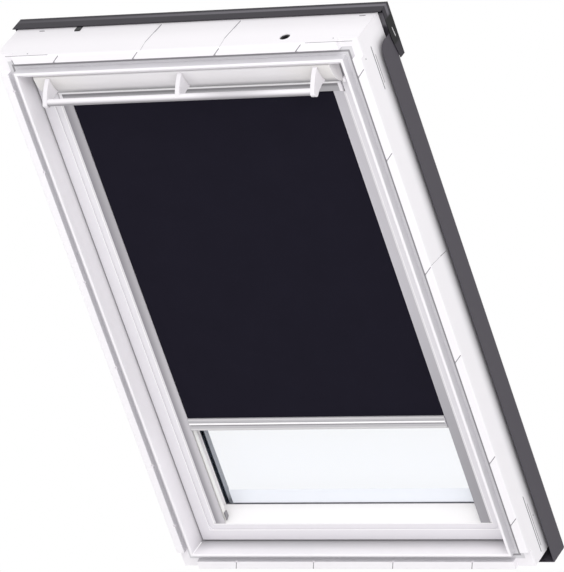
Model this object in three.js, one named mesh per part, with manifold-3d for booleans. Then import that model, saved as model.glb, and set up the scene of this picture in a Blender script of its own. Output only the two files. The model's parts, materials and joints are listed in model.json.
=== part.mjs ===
// A centre-pivot roof window with a blackout roller blind fitted inside its sash.
// Lengths are millimetres: X runs across the window, Y from the room outwards, Z up the slope.
// The origin lies in the middle of the frame's bottom face.

import * as THREE from 'three';
import { mergeVertices } from 'three/addons/utils/BufferGeometryUtils.js';
import Module from 'manifold-3d';

// Whole window
const FRAME_WIDTH = 780;
const FRAME_HEIGHT = 1178;
const FRAME_DEPTH = 104;
const ORIGIN_DEPTH = 40;

// Clearances and curve steps
const GAP = 0.3;
const OVERRUN = 4;
const FILLET_STEPS = 3;
const CORNER_STEPS = 3;
const CURVE_STEPS = 10;
const ROUND_SIDES = 32;

// Frame members: lip, lining groove, inner ridge and hollow back
const FRAME_MEMBER = 40;
const FRAME_EDGE_FILLET = 3;
const LIP_WIDTH = 17.5;
const LIP_FILLET = 0.8;
const GROOVE_DEPTH = 12.5;
const CHEEK = 6;
const WEB = 7.5;
const RIDGE_RISE = 7;
const RIDGE_FILLET = 2.5;
const FLASHING_STEP = 0.6;
const FLASHING_START = 66;
const CORNER_RECESS = 38.5;

// Notches along the lip's inner edge
const NOTCH_WIDTH = 5;
const NOTCH_REACH = 2.5;
const NOTCH_DEPTH = 4;
const SIDE_NOTCH_SHARES = [0.087, 0.208, 0.403, 0.57, 0.782, 0.935];
const END_NOTCH_SHARES = [0.164, 0.387, 0.613, 0.836];

// Cable hole and its grommet in the top member
const CABLE_HOLE_RADIUS = 10;
const CABLE_HOLE_INSET = 159.5;
const CABLE_HOLE_DEPTH = 27.2;
const GROMMET_BORE = 6;
const GROMMET_LENGTH = 12;
const GROMMET_SINK = 1.5;

// Seal in the gap between frame and sash
const FRAME_SEAL_SETBACK = 8;
const FRAME_SEAL_LENGTH = 5;
const FRAME_SEAL_THICKNESS = 1.8;

// Pivot hinges half way up the sides
const PIVOT_DEPTH = 70;
const PIVOT_PIN_RADIUS = 7;
const PIVOT_PIN_LENGTH = 12;
const PIVOT_CLEARANCE = 0.3;
const FRAME_HINGE_LENGTH = 120;
const HINGE_WIDTH = 24;
const HINGE_CORNER = 5;
const SASH_HINGE_LENGTH = 80;
const SASH_HINGE_THICKNESS = 8.4;

// Sheet covers outside the frame
const COVER_SHEET = 1.5;
const FRAME_COVER_RISE = 11.5;
const FRAME_COVER_LEG_INSET = 38;
const SIDE_COVER_STANDOFF = 5.5;
const SIDE_SKIRT_START = 66.5;
const SIDE_SKIRT_TOP_INSET = 50;
const SIDE_SKIRT_RISE = 27;
const SIDE_SKIRT_ROUND = 22;
const SIDE_COVER_TOP_INSET = 10;
const COVER_DROP = 30;
const TOP_COVER_STANDOFF = 1.5;
const TOP_COVER_RISE = 29;
const TOP_SKIRT_OVERLAP = 6;
const TOP_RETURN_WIDTH = 26;
const TOP_RETURN_LENGTH = 110;
const TOP_RETURN_TAPER = 47;
const TOP_RETURN_NARROWING = 9.6;
const CLIP_INSET = 141;
const CLIP_WIDTH = 12;
const CLIP_START = 84;
const CLIP_LENGTH = 20;
const CLIP_POINT = 3;

// Sash members: flat front band, stepped face, leaning inner face, hollow back
const SASH_GAP = 3;
const SASH_FRONT_DEPTH = 37;
const SASH_FRONT_FILLET = 2.5;
const SASH_BAND = 25;
const SASH_BAND_RISE = 2.5;
const SASH_BAND_FILLET = 1;
const SASH_BAND_ROUND = 12;
const SASH_FACE_SIDE = 13;
const SASH_FACE_END = 12;
const SASH_FACE_TOP = 32;
const SASH_FACE_FILLET = 2;
const SASH_LEAN_SIDE = 9;
const SASH_LEAN_BOTTOM = 18.6;
const SASH_LEAN_TOP = 6;
const SASH_WALL = 5;
const SASH_WEB = 4.5;

// Double glazing
const GLASS_SEAT_DEPTH = 79.7;
const PANE_THICKNESS = 4;
const PANE_EDGE_GAP = 0.5;
const PANE_INSET_SIDE = 78;
const PANE_INSET_END = 71;
const PANE_INSET_TOP = 91;
const SPACER_DEPTH = 14.2;
const SPACER_WIDTH = 6;
const SPACER_MARGIN = 15;
const GLASS_SEAL_THICKNESS = 1.2;
const GLASS_SEAL_EDGE = 2;
const GLASS_SEAL_SHOW_SIDE = 1;
const GLASS_SEAL_SHOW_END = 2.4;

// Sheet covers outside the sash
const SASH_COVER_EDGE = 1.5;
const SASH_COVER_RISE = 10.2;
const SASH_COVER_OVER_PANE_SIDE = 10;
const SASH_COVER_OVER_PANE_END = 20.5;

// Ventilation flap along the sash's top
const FLAP_END_GAP = 2;
const FLAP_SHEET = 3;
const FLAP_HINGE_INSET = 97;
const FLAP_HINGE_STANDOFF = 5.5;
const FLAP_RISE = 50;
const FLAP_REACH = 31.5;
const FLAP_BACK_GAP = 2.3;
const FLAP_NOSE_FILLET = 5;
const FLAP_BARREL_RADIUS = 4;
const FLAP_PIN_RADIUS = 1.8;
const FLAP_PIN_LENGTH = 11.5;
const FLAP_BELLY_REACH_SHARE = 0.87;
const FLAP_BELLY_RISE_SHARE = 0.2;
const LUG_WIDTH = 6;
const LUG_HEIGHT = 10;

// Control bar and its three arms
const BAR_RADIUS = 6.9;
const BAR_WALL = 1.8;
const BAR_END_INSET = 32;
const BAR_REACH = 59;
const BAR_RISE = 9.8;
const ARM_THICKNESS = 9;
const ARM_SOCKET = 3;
const ARM_WALL = 2.6;
const ARM_ROOT_TOP_SHARE = 0.92;
const ARM_ROOT_FOOT_SHARE = 0.2;
const ARM_CROWN_REACH_SHARE = 0.915;
const ARM_CROWN_RISE_SHARE = 0.64;
const ARM_HOLLOW_REACH_SHARE = 0.7;
const ARM_HOLLOW_RISE_SHARE = 0.22;

// Latch in the sash's top member and its striker in the frame
const LOCK_WIDTH = 60;
const LOCK_DEPTH = 24;
const LOCK_HEIGHT = 21.5;
const TONGUE_WIDTH = 20;
const TONGUE_THICKNESS = 8;
const TONGUE_LENGTH = 14;
const TONGUE_PROUD = 2.2;
const TONGUE_BEVEL = 3;
const LATCH_TRAVEL = 6;
const STRIKER_WIDTH = 56;
const STRIKER_DEPTH = 20;
const STRIKER_THICKNESS = 5;
const STRIKER_SLOT_DEPTH = 2.5;

// Barrel bolt that holds the sash shut, or turned over for cleaning
const BOLT_INSET = 140;
const BOLT_RADIUS = 4;
const BOLT_TRAVEL = 12;
const BOLT_REST = 0.5;
const BOLT_LENGTH = 38.5;
const BOLT_THUMB_WIDTH = 6;
const BOLT_THUMB_HEIGHT = 6;
const BOLT_THUMB_RISE = 4;
const BOLT_THUMB_PROUD = 9;
const BUSH_WALL = 2.5;
const BUSH_LENGTH = 9.7;
const BUSH_CLEARANCE = 0.5;

// Blind casing at the top of the sash's recess
const BLIND_SINK = 1.5;
const CASING_TOP_GAP = 5;
const CASING_DEPTH = 27.5;
const CASING_HEIGHT = 22;
const CASING_SHEET = 1.4;
const CASING_FILLET = 2;
const CASING_SLOT = 4;
const CASING_SLOT_LEAD = 1.1;
const END_CAP_THICKNESS = 6;
const END_CAP_SIDE_GAP = 0.45;
const END_CAP_STRAIGHT = 11.5;
const ROLLER_PIN_RADIUS = 3;
const ROLLER_PIN_LENGTH = 8;
const ROLLER_PIN_CLEARANCE = 0.25;

// Roller with the wound part of the fabric
const ROLLER_RADIUS = 7.2;
const ROLLER_WALL = 1;
const ROLL_RADIUS = 9;
const PLUG_LENGTH = 8;

// Side rails that guide the fabric's edges
const RAIL_SINK = 3.3;
const RAIL_WIDTH = 21;
const RAIL_DEPTH = 14.7;
const RAIL_SHEET = 1.3;
const RAIL_SLOT = 3.2;
const RAIL_SEAT_GAP = 0.5;
const RAIL_CLIP_THICKNESS = 2.2;
const RAIL_CLIP_START = 6.2;
const RAIL_CLIP_DEPTH = 9.5;
const RAIL_CLIP_HEIGHT = 12;

// Fabric sheet and bottom bar
const FABRIC_THICKNESS = 0.8;
const FABRIC_CLEARANCE = 0.5;
const FABRIC_EDGE_DEPTH = 12;
const BLIND_DROP = 723;
const BOTTOM_BAR_HEIGHT = 27.3;
const BOTTOM_BAR_DEPTH = 7.5;
const BOTTOM_BAR_FILLET = 1.2;
const BOTTOM_BAR_SLOT = 6;
const BAR_LINE_SHARES = [0.15, 0.48, 0.66];
const BAR_LINE_WIDTH = 0.9;
const BAR_LINE_DEPTH = 0.7;
const SLIDER_REACH = 11;
const SLIDER_HEIGHT = 18;

// Derived places
const halfWidth = FRAME_WIDTH / 2;
const pivotHeight = FRAME_HEIGHT / 2;
const frameInner = FRAME_MEMBER;
const ridgeInset = FRAME_MEMBER - CHEEK;
const frameWebBack = GROOVE_DEPTH + WEB;
const frameCoverBack = FRAME_DEPTH + FRAME_COVER_RISE;
const cableHoleAcross = halfWidth - CABLE_HOLE_INSET;
const clipAcross = CLIP_INSET - halfWidth;
const boltAcross = BOLT_INSET - halfWidth;
const sashInset = FRAME_MEMBER + SASH_GAP;
const bandInset = sashInset + SASH_BAND;
const bandBack = SASH_FRONT_DEPTH + SASH_BAND_RISE;
const sashWebBack = bandBack + SASH_WEB;
const faceInsetSide = bandInset + SASH_FACE_SIDE;
const faceInsetEnd = bandInset + SASH_FACE_END;
const faceInsetTop = bandInset + SASH_FACE_TOP;
const rebateSide = PANE_INSET_SIDE - PANE_EDGE_GAP;
const rebateEnd = PANE_INSET_END - PANE_EDGE_GAP;
const rebateTop = PANE_INSET_TOP - PANE_EDGE_GAP;
const glassSealFront = GLASS_SEAT_DEPTH + GAP;
const innerPaneFront = glassSealFront + GLASS_SEAL_THICKNESS + GAP;
const spacerFront = innerPaneFront + PANE_THICKNESS + GAP;
const outerPaneFront = spacerFront + SPACER_DEPTH + GAP;
const outerPaneBack = outerPaneFront + PANE_THICKNESS;
const flapHingeDepth = SASH_FRONT_DEPTH - FLAP_HINGE_STANDOFF;
const flapHingeHeight = FRAME_HEIGHT - FLAP_HINGE_INSET;
const flapHalf = halfWidth - bandInset - FLAP_END_GAP;
const barHalf = flapHalf - BAR_END_INSET;
const sashTop = FRAME_HEIGHT - sashInset;
const lockTop = sashTop - GAP;
const boltTip = sashTop - BOLT_REST;
const boltFoot = boltTip - BOLT_LENGTH;
const bushRadius = BOLT_RADIUS + BUSH_CLEARANCE + BUSH_WALL;
const blindFront = SASH_FRONT_DEPTH + BLIND_SINK;
const casingTop = FRAME_HEIGHT - faceInsetTop - CASING_TOP_GAP;
const casingFoot = casingTop - CASING_HEIGHT;
const railFront = SASH_FRONT_DEPTH + RAIL_SINK;
const railBack = railFront + RAIL_DEPTH;
const railSlotFront = railFront + RAIL_SHEET;
const railSlotBack = railSlotFront + RAIL_SLOT;
const railOuter = sideFaceAcross(railBack) - RAIL_SEAT_GAP;
const railInner = railOuter - RAIL_WIDTH;
const casingHalf = railOuter - END_CAP_THICKNESS;
const fabricFront = railSlotFront + FABRIC_CLEARANCE;
const fabricBack = fabricFront + FABRIC_THICKNESS;
const fabricHalf = railInner + FABRIC_EDGE_DEPTH;
const rollerDepth = fabricBack + GAP + ROLL_RADIUS;
const rollerHeight = casingTop - CASING_HEIGHT / 2;
const bottomBarTop = casingFoot - BLIND_DROP;
const bottomBarFoot = bottomBarTop - BOTTOM_BAR_HEIGHT;
const fabricFoot = bottomBarTop - BOTTOM_BAR_SLOT;

// Finishes
const finishes = {
  whiteCoat: { color: 0xf6f5f7, roughness: 0.45, metalness: 0 },
  sashCoat: { color: 0xe9e8ea, roughness: 0.4, metalness: 0 },
  timber: { color: 0xd9b98a, roughness: 0.7, metalness: 0 },
  darkSheet: { color: 0x57545c, roughness: 0.5, metalness: 0.4 },
  blackPlastic: { color: 0x1c1c1f, roughness: 0.55, metalness: 0 },
  greyRubber: { color: 0x6a6a6e, roughness: 0.8, metalness: 0 },
  steel: { color: 0xb9bbbe, roughness: 0.35, metalness: 1 },
  glass: { color: 0xe6f0f7, roughness: 0.05, metalness: 0, transparent: true, opacity: 0.3 },
  flapCoat: { color: 0xdedcd6, roughness: 0.45, metalness: 0 },
  aluminium: { color: 0xa9abae, roughness: 0.4, metalness: 0.9 },
  fabric: { color: 0x21202a, roughness: 0.95, metalness: 0 },
};

const wasm = await Module();
wasm.setup();

// Solids: closed geometries joined and cut

function solidOf(geometry) {
  const bare = geometry.clone();
  bare.deleteAttribute('normal');
  bare.deleteAttribute('uv');
  const merged = mergeVertices(bare);
  const vertProperties = new Float32Array(merged.attributes.position.array);
  const triVerts = new Uint32Array(merged.index.array);
  return new wasm.Manifold(new wasm.Mesh({ numProp: 3, vertProperties, triVerts }));
}

function geometryOf(solid) {
  const mesh = solid.getMesh();
  const geometry = new THREE.BufferGeometry();
  geometry.setAttribute('position', new THREE.BufferAttribute(new Float32Array(mesh.vertProperties), 3));
  geometry.setIndex([...mesh.triVerts]);
  return geometry;
}

function cut(geometry, ...tools) {
  let solid = solidOf(geometry);
  for (const tool of tools) solid = solid.subtract(solidOf(tool));
  return geometryOf(solid);
}

function join(geometry, ...others) {
  let solid = solidOf(geometry);
  for (const other of others) solid = solid.add(solidOf(other));
  return geometryOf(solid);
}

// Outlines: corners are [across, up] or [across, up, fillet]

function along(from, to, reach) {
  const step = to.clone().sub(from);
  return from.clone().addScaledVector(step, Math.min(reach / step.length(), 1 / 2));
}

function outline(corners) {
  const points = corners.map(([x, y]) => new THREE.Vector2(x, y));
  const shape = new THREE.Shape();
  corners.forEach(([, , fillet = 0], i) => {
    const before = along(points[i], points.at(i - 1), fillet);
    const after = along(points[i], points[(i + 1) % points.length], fillet);
    if (i === 0) shape.moveTo(before.x, before.y);
    else shape.lineTo(before.x, before.y);
    if (fillet > 0) shape.quadraticCurveTo(points[i].x, points[i].y, after.x, after.y);
  });
  shape.closePath();
  return shape;
}

function disc(radius, x = 0, y = 0) {
  return new THREE.Shape().absarc(x, y, radius, 0, 2 * Math.PI);
}

function annulus(outer, inner) {
  const shape = disc(outer);
  shape.holes.push(disc(inner));
  return shape;
}

function extruded(shape, length, curveSegments) {
  return new THREE.ExtrudeGeometry(shape, { depth: length, bevelEnabled: false, curveSegments });
}

// The shape's two axes become Y and Z
function alongX(shape, from, to, steps = FILLET_STEPS) {
  const turn = new THREE.Matrix4().set(0, 0, 1, Math.min(from, to), 1, 0, 0, 0, 0, 1, 0, 0, 0, 0, 0, 1);
  return extruded(shape, Math.abs(to - from), steps).applyMatrix4(turn);
}

// The shape's two axes stay X and Y
function alongZ(shape, from, to, steps = FILLET_STEPS) {
  return extruded(shape, to - from, steps).translate(0, 0, from);
}

function block([x0, x1], [y0, y1], [z0, z1]) {
  const box = new THREE.BoxGeometry(Math.abs(x1 - x0), y1 - y0, z1 - z0);
  return box.translate((x0 + x1) / 2, (y0 + y1) / 2, (z0 + z1) / 2);
}

function rodX(radius, y, z, from, to) {
  return alongX(disc(radius), from, to, ROUND_SIDES / 2).translate(0, y, z);
}

function rodZ(radius, x, y, from, to) {
  return alongZ(disc(radius, x, y), from, to, ROUND_SIDES / 2);
}

// Rings round the whole window. A section corner holds its inset from each edge,
// its depth, and the radius in which its line turns the ring's corners.

const even = (inset) => ({ side: inset, bottom: inset, top: inset });

function sectionCorner(inset, depth, fillet = 0, round = 0) {
  return { values: [inset.side, inset.bottom, inset.top, depth, round], fillet };
}

function blend(a, b, share) {
  return a.map((value, i) => value + (b[i] - value) * share);
}

function filletPoints(previous, corner, next) {
  const here = corner.values;
  if (corner.fillet === 0) return [here];
  const reach = (other) => {
    const run = Math.hypot(other[0] - here[0], other[3] - here[3]);
    return blend(here, other, Math.min(corner.fillet / run, 1 / 2));
  };
  const start = reach(previous.values);
  const end = reach(next.values);
  return Array.from({ length: FILLET_STEPS + 1 }, (_, i) => {
    const share = i / FILLET_STEPS;
    return blend(blend(start, here, share), blend(here, end, share), share);
  });
}

function cornerLoop(points, quarter, step) {
  const angle = (quarter - 1 + step / CORNER_STEPS) * Math.PI / 2;
  const right = quarter < 2;
  const top = quarter === 1 || quarter === 2;
  return points.flatMap(([side, bottom, topInset, depth, round]) => {
    const x = (right ? 1 : -1) * (halfWidth - side - round) + round * Math.cos(angle);
    const z = (top ? FRAME_HEIGHT - topInset - round : bottom + round) + round * Math.sin(angle);
    return [x, depth, z];
  });
}

function withoutSlivers(geometry) {
  const merged = mergeVertices(geometry);
  const kept = [];
  for (let i = 0; i < merged.index.count; i += 3) {
    const triangle = [0, 1, 2].map((k) => merged.index.getX(i + k));
    if (new Set(triangle).size === 3) kept.push(...triangle);
  }
  merged.setIndex(kept);
  return merged;
}

function facingOut(geometry) {
  const place = geometry.attributes.position;
  const [a, b, c] = [new THREE.Vector3(), new THREE.Vector3(), new THREE.Vector3()];
  let volume = 0;
  for (let i = 0; i < geometry.index.count; i += 3) {
    [a, b, c].forEach((corner, k) => corner.fromBufferAttribute(place, geometry.index.getX(i + k)));
    volume += a.dot(b.cross(c));
  }
  if (volume < 0) geometry.index.array.reverse();
  return geometry;
}

function ring(corners) {
  const points = corners.flatMap((corner, i) =>
    filletPoints(corners.at(i - 1), corner, corners[(i + 1) % corners.length]));
  const loops = [];
  for (let quarter = 0; quarter < 4; quarter += 1) {
    for (let step = 0; step <= CORNER_STEPS; step += 1) loops.push(cornerLoop(points, quarter, step));
  }
  const count = points.length;
  const index = loops.flatMap((_, loop) => points.flatMap((__, i) => {
    const next = (loop + 1) % loops.length;
    const [a, b] = [loop * count + i, loop * count + (i + 1) % count];
    const [c, d] = [next * count + i, next * count + (i + 1) % count];
    return [a, b, d, a, d, c];
  }));
  const geometry = new THREE.BufferGeometry();
  geometry.setAttribute('position', new THREE.Float32BufferAttribute(loops.flat(), 3));
  geometry.setIndex(index);
  return facingOut(withoutSlivers(geometry));
}

function flatRing(outer, inner, from, to) {
  return ring([
    sectionCorner(outer, from),
    sectionCorner(inner, from),
    sectionCorner(inner, to),
    sectionCorner(outer, to),
  ]);
}

// Sheet channel: two legs towards the room joined by a flange, as [inset, depth] corners
function channelCorners(outer, inner, back, outerLeg, innerLeg) {
  return [
    [outer, outerLeg],
    [outer, back],
    [inner, back],
    [inner, innerLeg],
    [inner - COVER_SHEET, innerLeg],
    [inner - COVER_SHEET, back - COVER_SHEET],
    [outer + COVER_SHEET, back - COVER_SHEET],
    [outer + COVER_SHEET, outerLeg],
  ];
}

function sideMember(corners, side, from, to) {
  return alongZ(outline(corners.map(([inset, depth]) => [side * (halfWidth - inset), depth])), from, to);
}

function bottomMember(corners, reach) {
  return alongX(outline(corners.map(([inset, depth]) => [depth, inset])), -reach, reach);
}

function topMember(corners, reach) {
  return alongX(outline(corners.map(([inset, depth]) => [depth, FRAME_HEIGHT - inset])), -reach, reach);
}

// Where the sash's leaning inner faces lie at a given depth
function leanShare(depth) {
  return (depth - bandBack) / (GLASS_SEAT_DEPTH - bandBack);
}

function sideFaceAcross(depth) {
  return halfWidth - faceInsetSide - SASH_LEAN_SIDE * leanShare(depth);
}

const sides = [['left', -1], ['right', 1]];

// Frame

function frameSection() {
  const [outer, flashing, lip] = [even(0), even(FLASHING_STEP), even(LIP_WIDTH)];
  const [ridge, inner, channel] = [even(ridgeInset), even(frameInner), even(CHEEK)];
  return [
    sectionCorner(outer, 0, FRAME_EDGE_FILLET),
    sectionCorner(lip, 0, LIP_FILLET),
    sectionCorner(lip, GROOVE_DEPTH),
    sectionCorner(ridge, GROOVE_DEPTH),
    sectionCorner(ridge, -RIDGE_RISE, RIDGE_FILLET),
    sectionCorner(inner, -RIDGE_RISE, RIDGE_FILLET),
    sectionCorner(inner, FRAME_DEPTH),
    sectionCorner(ridge, FRAME_DEPTH),
    sectionCorner(ridge, frameWebBack),
    sectionCorner(channel, frameWebBack),
    sectionCorner(channel, FRAME_DEPTH),
    sectionCorner(flashing, FRAME_DEPTH),
    sectionCorner(flashing, FLASHING_START),
    sectionCorner(outer, FLASHING_START),
  ];
}

function cornerRecesses() {
  const depths = [-OVERRUN, GROOVE_DEPTH];
  const long = [-OVERRUN, CORNER_RECESS];
  const short = [-OVERRUN, LIP_WIDTH + GAP];
  const place = (x, z, side, top) => block(
    x.map((inset) => side * (halfWidth - inset)),
    depths,
    top ? z.map((inset) => FRAME_HEIGHT - inset).reverse() : z,
  );
  return [-1, 1].flatMap((side) => [false, true].flatMap((top) => [
    place(long, short, side, top),
    place(short, long, side, top),
  ]));
}

function lipNotches() {
  const insets = [LIP_WIDTH - NOTCH_REACH, LIP_WIDTH + OVERRUN];
  const depths = [-OVERRUN, NOTCH_DEPTH];
  const about = (place) => [place - NOTCH_WIDTH / 2, place + NOTCH_WIDTH / 2];
  const onSides = SIDE_NOTCH_SHARES.flatMap((share) => [-1, 1].map((side) => block(
    insets.map((inset) => side * (halfWidth - inset)), depths, about(share * FRAME_HEIGHT))));
  const onEnds = END_NOTCH_SHARES.flatMap((share) => {
    const x = about(share * FRAME_WIDTH - halfWidth);
    return [block(x, depths, insets), block(x, depths, insets.map((v) => FRAME_HEIGHT - v).reverse())];
  });
  return [...onSides, ...onEnds];
}

function hingePocket(side, outerInset, innerInset, length) {
  return block(
    [side * (halfWidth - outerInset), side * (halfWidth - innerInset)],
    [PIVOT_DEPTH - HINGE_WIDTH / 2, PIVOT_DEPTH + HINGE_WIDTH / 2],
    [pivotHeight - length / 2, pivotHeight + length / 2],
  );
}

function strikerPocket() {
  return block(
    [-STRIKER_WIDTH / 2 - GAP, STRIKER_WIDTH / 2 + GAP],
    [PIVOT_DEPTH - STRIKER_DEPTH / 2 - GAP, PIVOT_DEPTH + STRIKER_DEPTH / 2 + GAP],
    [FRAME_HEIGHT - frameInner - OVERRUN, FRAME_HEIGHT - ridgeInset],
  );
}

function bushPockets() {
  const reach = BUSH_LENGTH + GAP;
  const radius = bushRadius + GAP;
  const top = FRAME_HEIGHT - frameInner;
  return [
    rodZ(radius, boltAcross, PIVOT_DEPTH, top - OVERRUN, top + GAP + reach),
    rodZ(radius, boltAcross, PIVOT_DEPTH, frameInner - GAP - reach, frameInner + OVERRUN),
  ];
}

function cableHole() {
  const foot = FRAME_HEIGHT - GROMMET_SINK - GROMMET_LENGTH - GAP;
  return rodZ(CABLE_HOLE_RADIUS, cableHoleAcross, CABLE_HOLE_DEPTH, foot, FRAME_HEIGHT + OVERRUN);
}

function frameMoulding() {
  return cut(
    ring(frameSection()),
    ...cornerRecesses(),
    ...lipNotches(),
    ...[-1, 1].map((side) => hingePocket(side, ridgeInset, frameInner + OVERRUN, FRAME_HINGE_LENGTH)),
    strikerPocket(),
    ...bushPockets(),
    cableHole(),
  );
}

function coreInsets(outer, inner) {
  return { outer: outer + GAP, inner: inner - GAP };
}

function addFrameCores(group) {
  const { outer, inner } = coreInsets(CHEEK, ridgeInset);
  const depths = [frameWebBack + GAP, FRAME_DEPTH];
  for (const [name, side] of sides) {
    const across = [side * (halfWidth - outer), side * (halfWidth - inner)];
    addPiece(group, `frame_core_${name}`, 'timber', block(across, depths, [outer, FRAME_HEIGHT - outer]));
  }
  const reach = halfWidth - inner - GAP;
  const top = block([-reach, reach], depths, [FRAME_HEIGHT - inner, FRAME_HEIGHT - outer]);
  const bottom = block([-reach, reach], depths, [outer, inner]);
  addPiece(group, 'frame_core_top', 'timber', cut(top, cableHole(), ...bushPockets()));
  addPiece(group, 'frame_core_bottom', 'timber', cut(bottom, ...bushPockets()));
}

function frameSeal() {
  const seat = even(frameInner + GAP);
  const start = FRAME_DEPTH - FRAME_SEAL_SETBACK;
  const middle = start + FRAME_SEAL_LENGTH / 2;
  return ring([
    sectionCorner(seat, start),
    sectionCorner(even(frameInner + GAP + FRAME_SEAL_THICKNESS), middle, FRAME_SEAL_THICKNESS / 2),
    sectionCorner(seat, start + FRAME_SEAL_LENGTH),
  ]);
}

function frameHinge(side) {
  const [y, z] = [HINGE_WIDTH / 2 - GAP, FRAME_HINGE_LENGTH / 2 - GAP];
  const plate = alongX(outline([
    [PIVOT_DEPTH - y, pivotHeight - z, HINGE_CORNER],
    [PIVOT_DEPTH + y, pivotHeight - z, HINGE_CORNER],
    [PIVOT_DEPTH + y, pivotHeight + z, HINGE_CORNER],
    [PIVOT_DEPTH - y, pivotHeight + z, HINGE_CORNER],
  ]), side * (halfWidth - ridgeInset - GAP), side * (halfWidth - frameInner + GAP));
  const wall = side * (halfWidth - frameInner);
  const pin = rodX(PIVOT_PIN_RADIUS, PIVOT_DEPTH, pivotHeight,
    wall + side * GAP, wall - side * PIVOT_PIN_LENGTH);
  return join(plate, pin);
}

function striker() {
  const wall = FRAME_HEIGHT - frameInner;
  const plate = block(
    [-STRIKER_WIDTH / 2, STRIKER_WIDTH / 2],
    [PIVOT_DEPTH - STRIKER_DEPTH / 2, PIVOT_DEPTH + STRIKER_DEPTH / 2],
    [wall + GAP, wall + GAP + STRIKER_THICKNESS],
  );
  const across = TONGUE_WIDTH / 2 + BUSH_CLEARANCE;
  const deep = TONGUE_THICKNESS / 2 + BUSH_CLEARANCE;
  const slot = block(
    [-across, across],
    [PIVOT_DEPTH - deep, PIVOT_DEPTH + deep],
    [wall - OVERRUN, wall + GAP + STRIKER_SLOT_DEPTH],
  );
  return cut(plate, slot);
}

function boltBush(from, to) {
  const tube = alongZ(annulus(bushRadius, BOLT_RADIUS + BUSH_CLEARANCE), from, to, ROUND_SIDES / 2);
  return tube.translate(boltAcross, PIVOT_DEPTH, 0);
}

function addBoltBushes(group) {
  const top = FRAME_HEIGHT - frameInner + GAP;
  const bottom = frameInner - GAP;
  addPiece(group, 'bolt_bush_top', 'steel', boltBush(top, top + BUSH_LENGTH));
  addPiece(group, 'bolt_bush_bottom', 'steel', boltBush(bottom - BUSH_LENGTH, bottom));
}

function grommet() {
  const top = FRAME_HEIGHT - GROMMET_SINK;
  const section = annulus(CABLE_HOLE_RADIUS - GAP, GROMMET_BORE);
  const tube = alongZ(section, top - GROMMET_LENGTH, top, ROUND_SIDES / 2);
  return tube.translate(cableHoleAcross, CABLE_HOLE_DEPTH, 0);
}

// Sheet covers of the frame

const sideCoverOuter = -(SIDE_COVER_STANDOFF + COVER_SHEET);
const topCoverOuter = -(TOP_COVER_STANDOFF + COVER_SHEET);
const topCoverBack = FRAME_DEPTH + TOP_COVER_RISE;
const topSkirtStart = FRAME_DEPTH - TOP_SKIRT_OVERLAP;
const endCoverReach = halfWidth - FRAME_COVER_LEG_INSET - GAP;

function skirtTrim(side) {
  const top = FRAME_HEIGHT - SIDE_SKIRT_TOP_INSET;
  const flangeFront = frameCoverBack - COVER_SHEET - GAP;
  const shape = new THREE.Shape();
  shape.moveTo(SIDE_SKIRT_START - OVERRUN, top - SIDE_SKIRT_RISE);
  shape.lineTo(SIDE_SKIRT_START, top - SIDE_SKIRT_RISE);
  shape.quadraticCurveTo(SIDE_SKIRT_START, top, SIDE_SKIRT_START + SIDE_SKIRT_ROUND, top);
  shape.lineTo(flangeFront, top);
  shape.lineTo(flangeFront, FRAME_HEIGHT);
  shape.lineTo(SIDE_SKIRT_START - OVERRUN, FRAME_HEIGHT);
  shape.closePath();
  const outer = side * (halfWidth - sideCoverOuter);
  return alongX(shape, outer + side * OVERRUN, outer - side * (COVER_SHEET + GAP), CURVE_STEPS);
}

function frameSideCover(side) {
  const corners = channelCorners(
    sideCoverOuter, FRAME_COVER_LEG_INSET, frameCoverBack, SIDE_SKIRT_START, FRAME_DEPTH + GAP);
  const channel = sideMember(corners, side, -COVER_DROP, FRAME_HEIGHT - SIDE_COVER_TOP_INSET);
  const leg = halfWidth - FRAME_COVER_LEG_INSET;
  const legTrim = block(
    [side * (leg - OVERRUN), side * (leg + OVERRUN)],
    [FRAME_DEPTH, frameCoverBack - COVER_SHEET],
    [-COVER_DROP - OVERRUN, 0],
  );
  return cut(channel, skirtTrim(side), legTrim);
}

function topReturn(side) {
  const outer = halfWidth - sideCoverOuter + GAP;
  const top = FRAME_HEIGHT - topCoverOuter;
  const foot = top - TOP_RETURN_LENGTH;
  const front = topCoverBack - TOP_RETURN_WIDTH;
  return alongX(outline([
    [front, top],
    [topCoverBack, top],
    [topCoverBack, foot],
    [front + TOP_RETURN_NARROWING, foot],
    [front, foot + TOP_RETURN_TAPER],
  ]), side * outer, side * (outer + COVER_SHEET));
}

function frameTopCover() {
  const inner = FRAME_COVER_LEG_INSET + GAP;
  const channel = topMember(
    channelCorners(topCoverOuter, inner, topCoverBack, topSkirtStart, FRAME_DEPTH + GAP), endCoverReach);
  const angle = topMember([
    [topCoverOuter, topSkirtStart],
    [topCoverOuter, topCoverBack],
    [inner, topCoverBack],
    [inner, topCoverBack - COVER_SHEET],
    [topCoverOuter + COVER_SHEET, topCoverBack - COVER_SHEET],
    [topCoverOuter + COVER_SHEET, topSkirtStart],
  ], halfWidth - sideCoverOuter + GAP + COVER_SHEET);
  return join(channel, angle, topReturn(-1), topReturn(1));
}

function frameBottomCover() {
  const channel = bottomMember(
    channelCorners(-COVER_DROP, FRAME_COVER_LEG_INSET, frameCoverBack, SIDE_SKIRT_START, FRAME_DEPTH + GAP),
    endCoverReach);
  const reach = halfWidth + SIDE_COVER_STANDOFF - GAP;
  const sill = block(
    [-reach, reach],
    [SIDE_SKIRT_START, frameCoverBack - COVER_SHEET - GAP],
    [-COVER_DROP, -COVER_DROP + COVER_SHEET],
  );
  return join(channel, sill);
}

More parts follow.
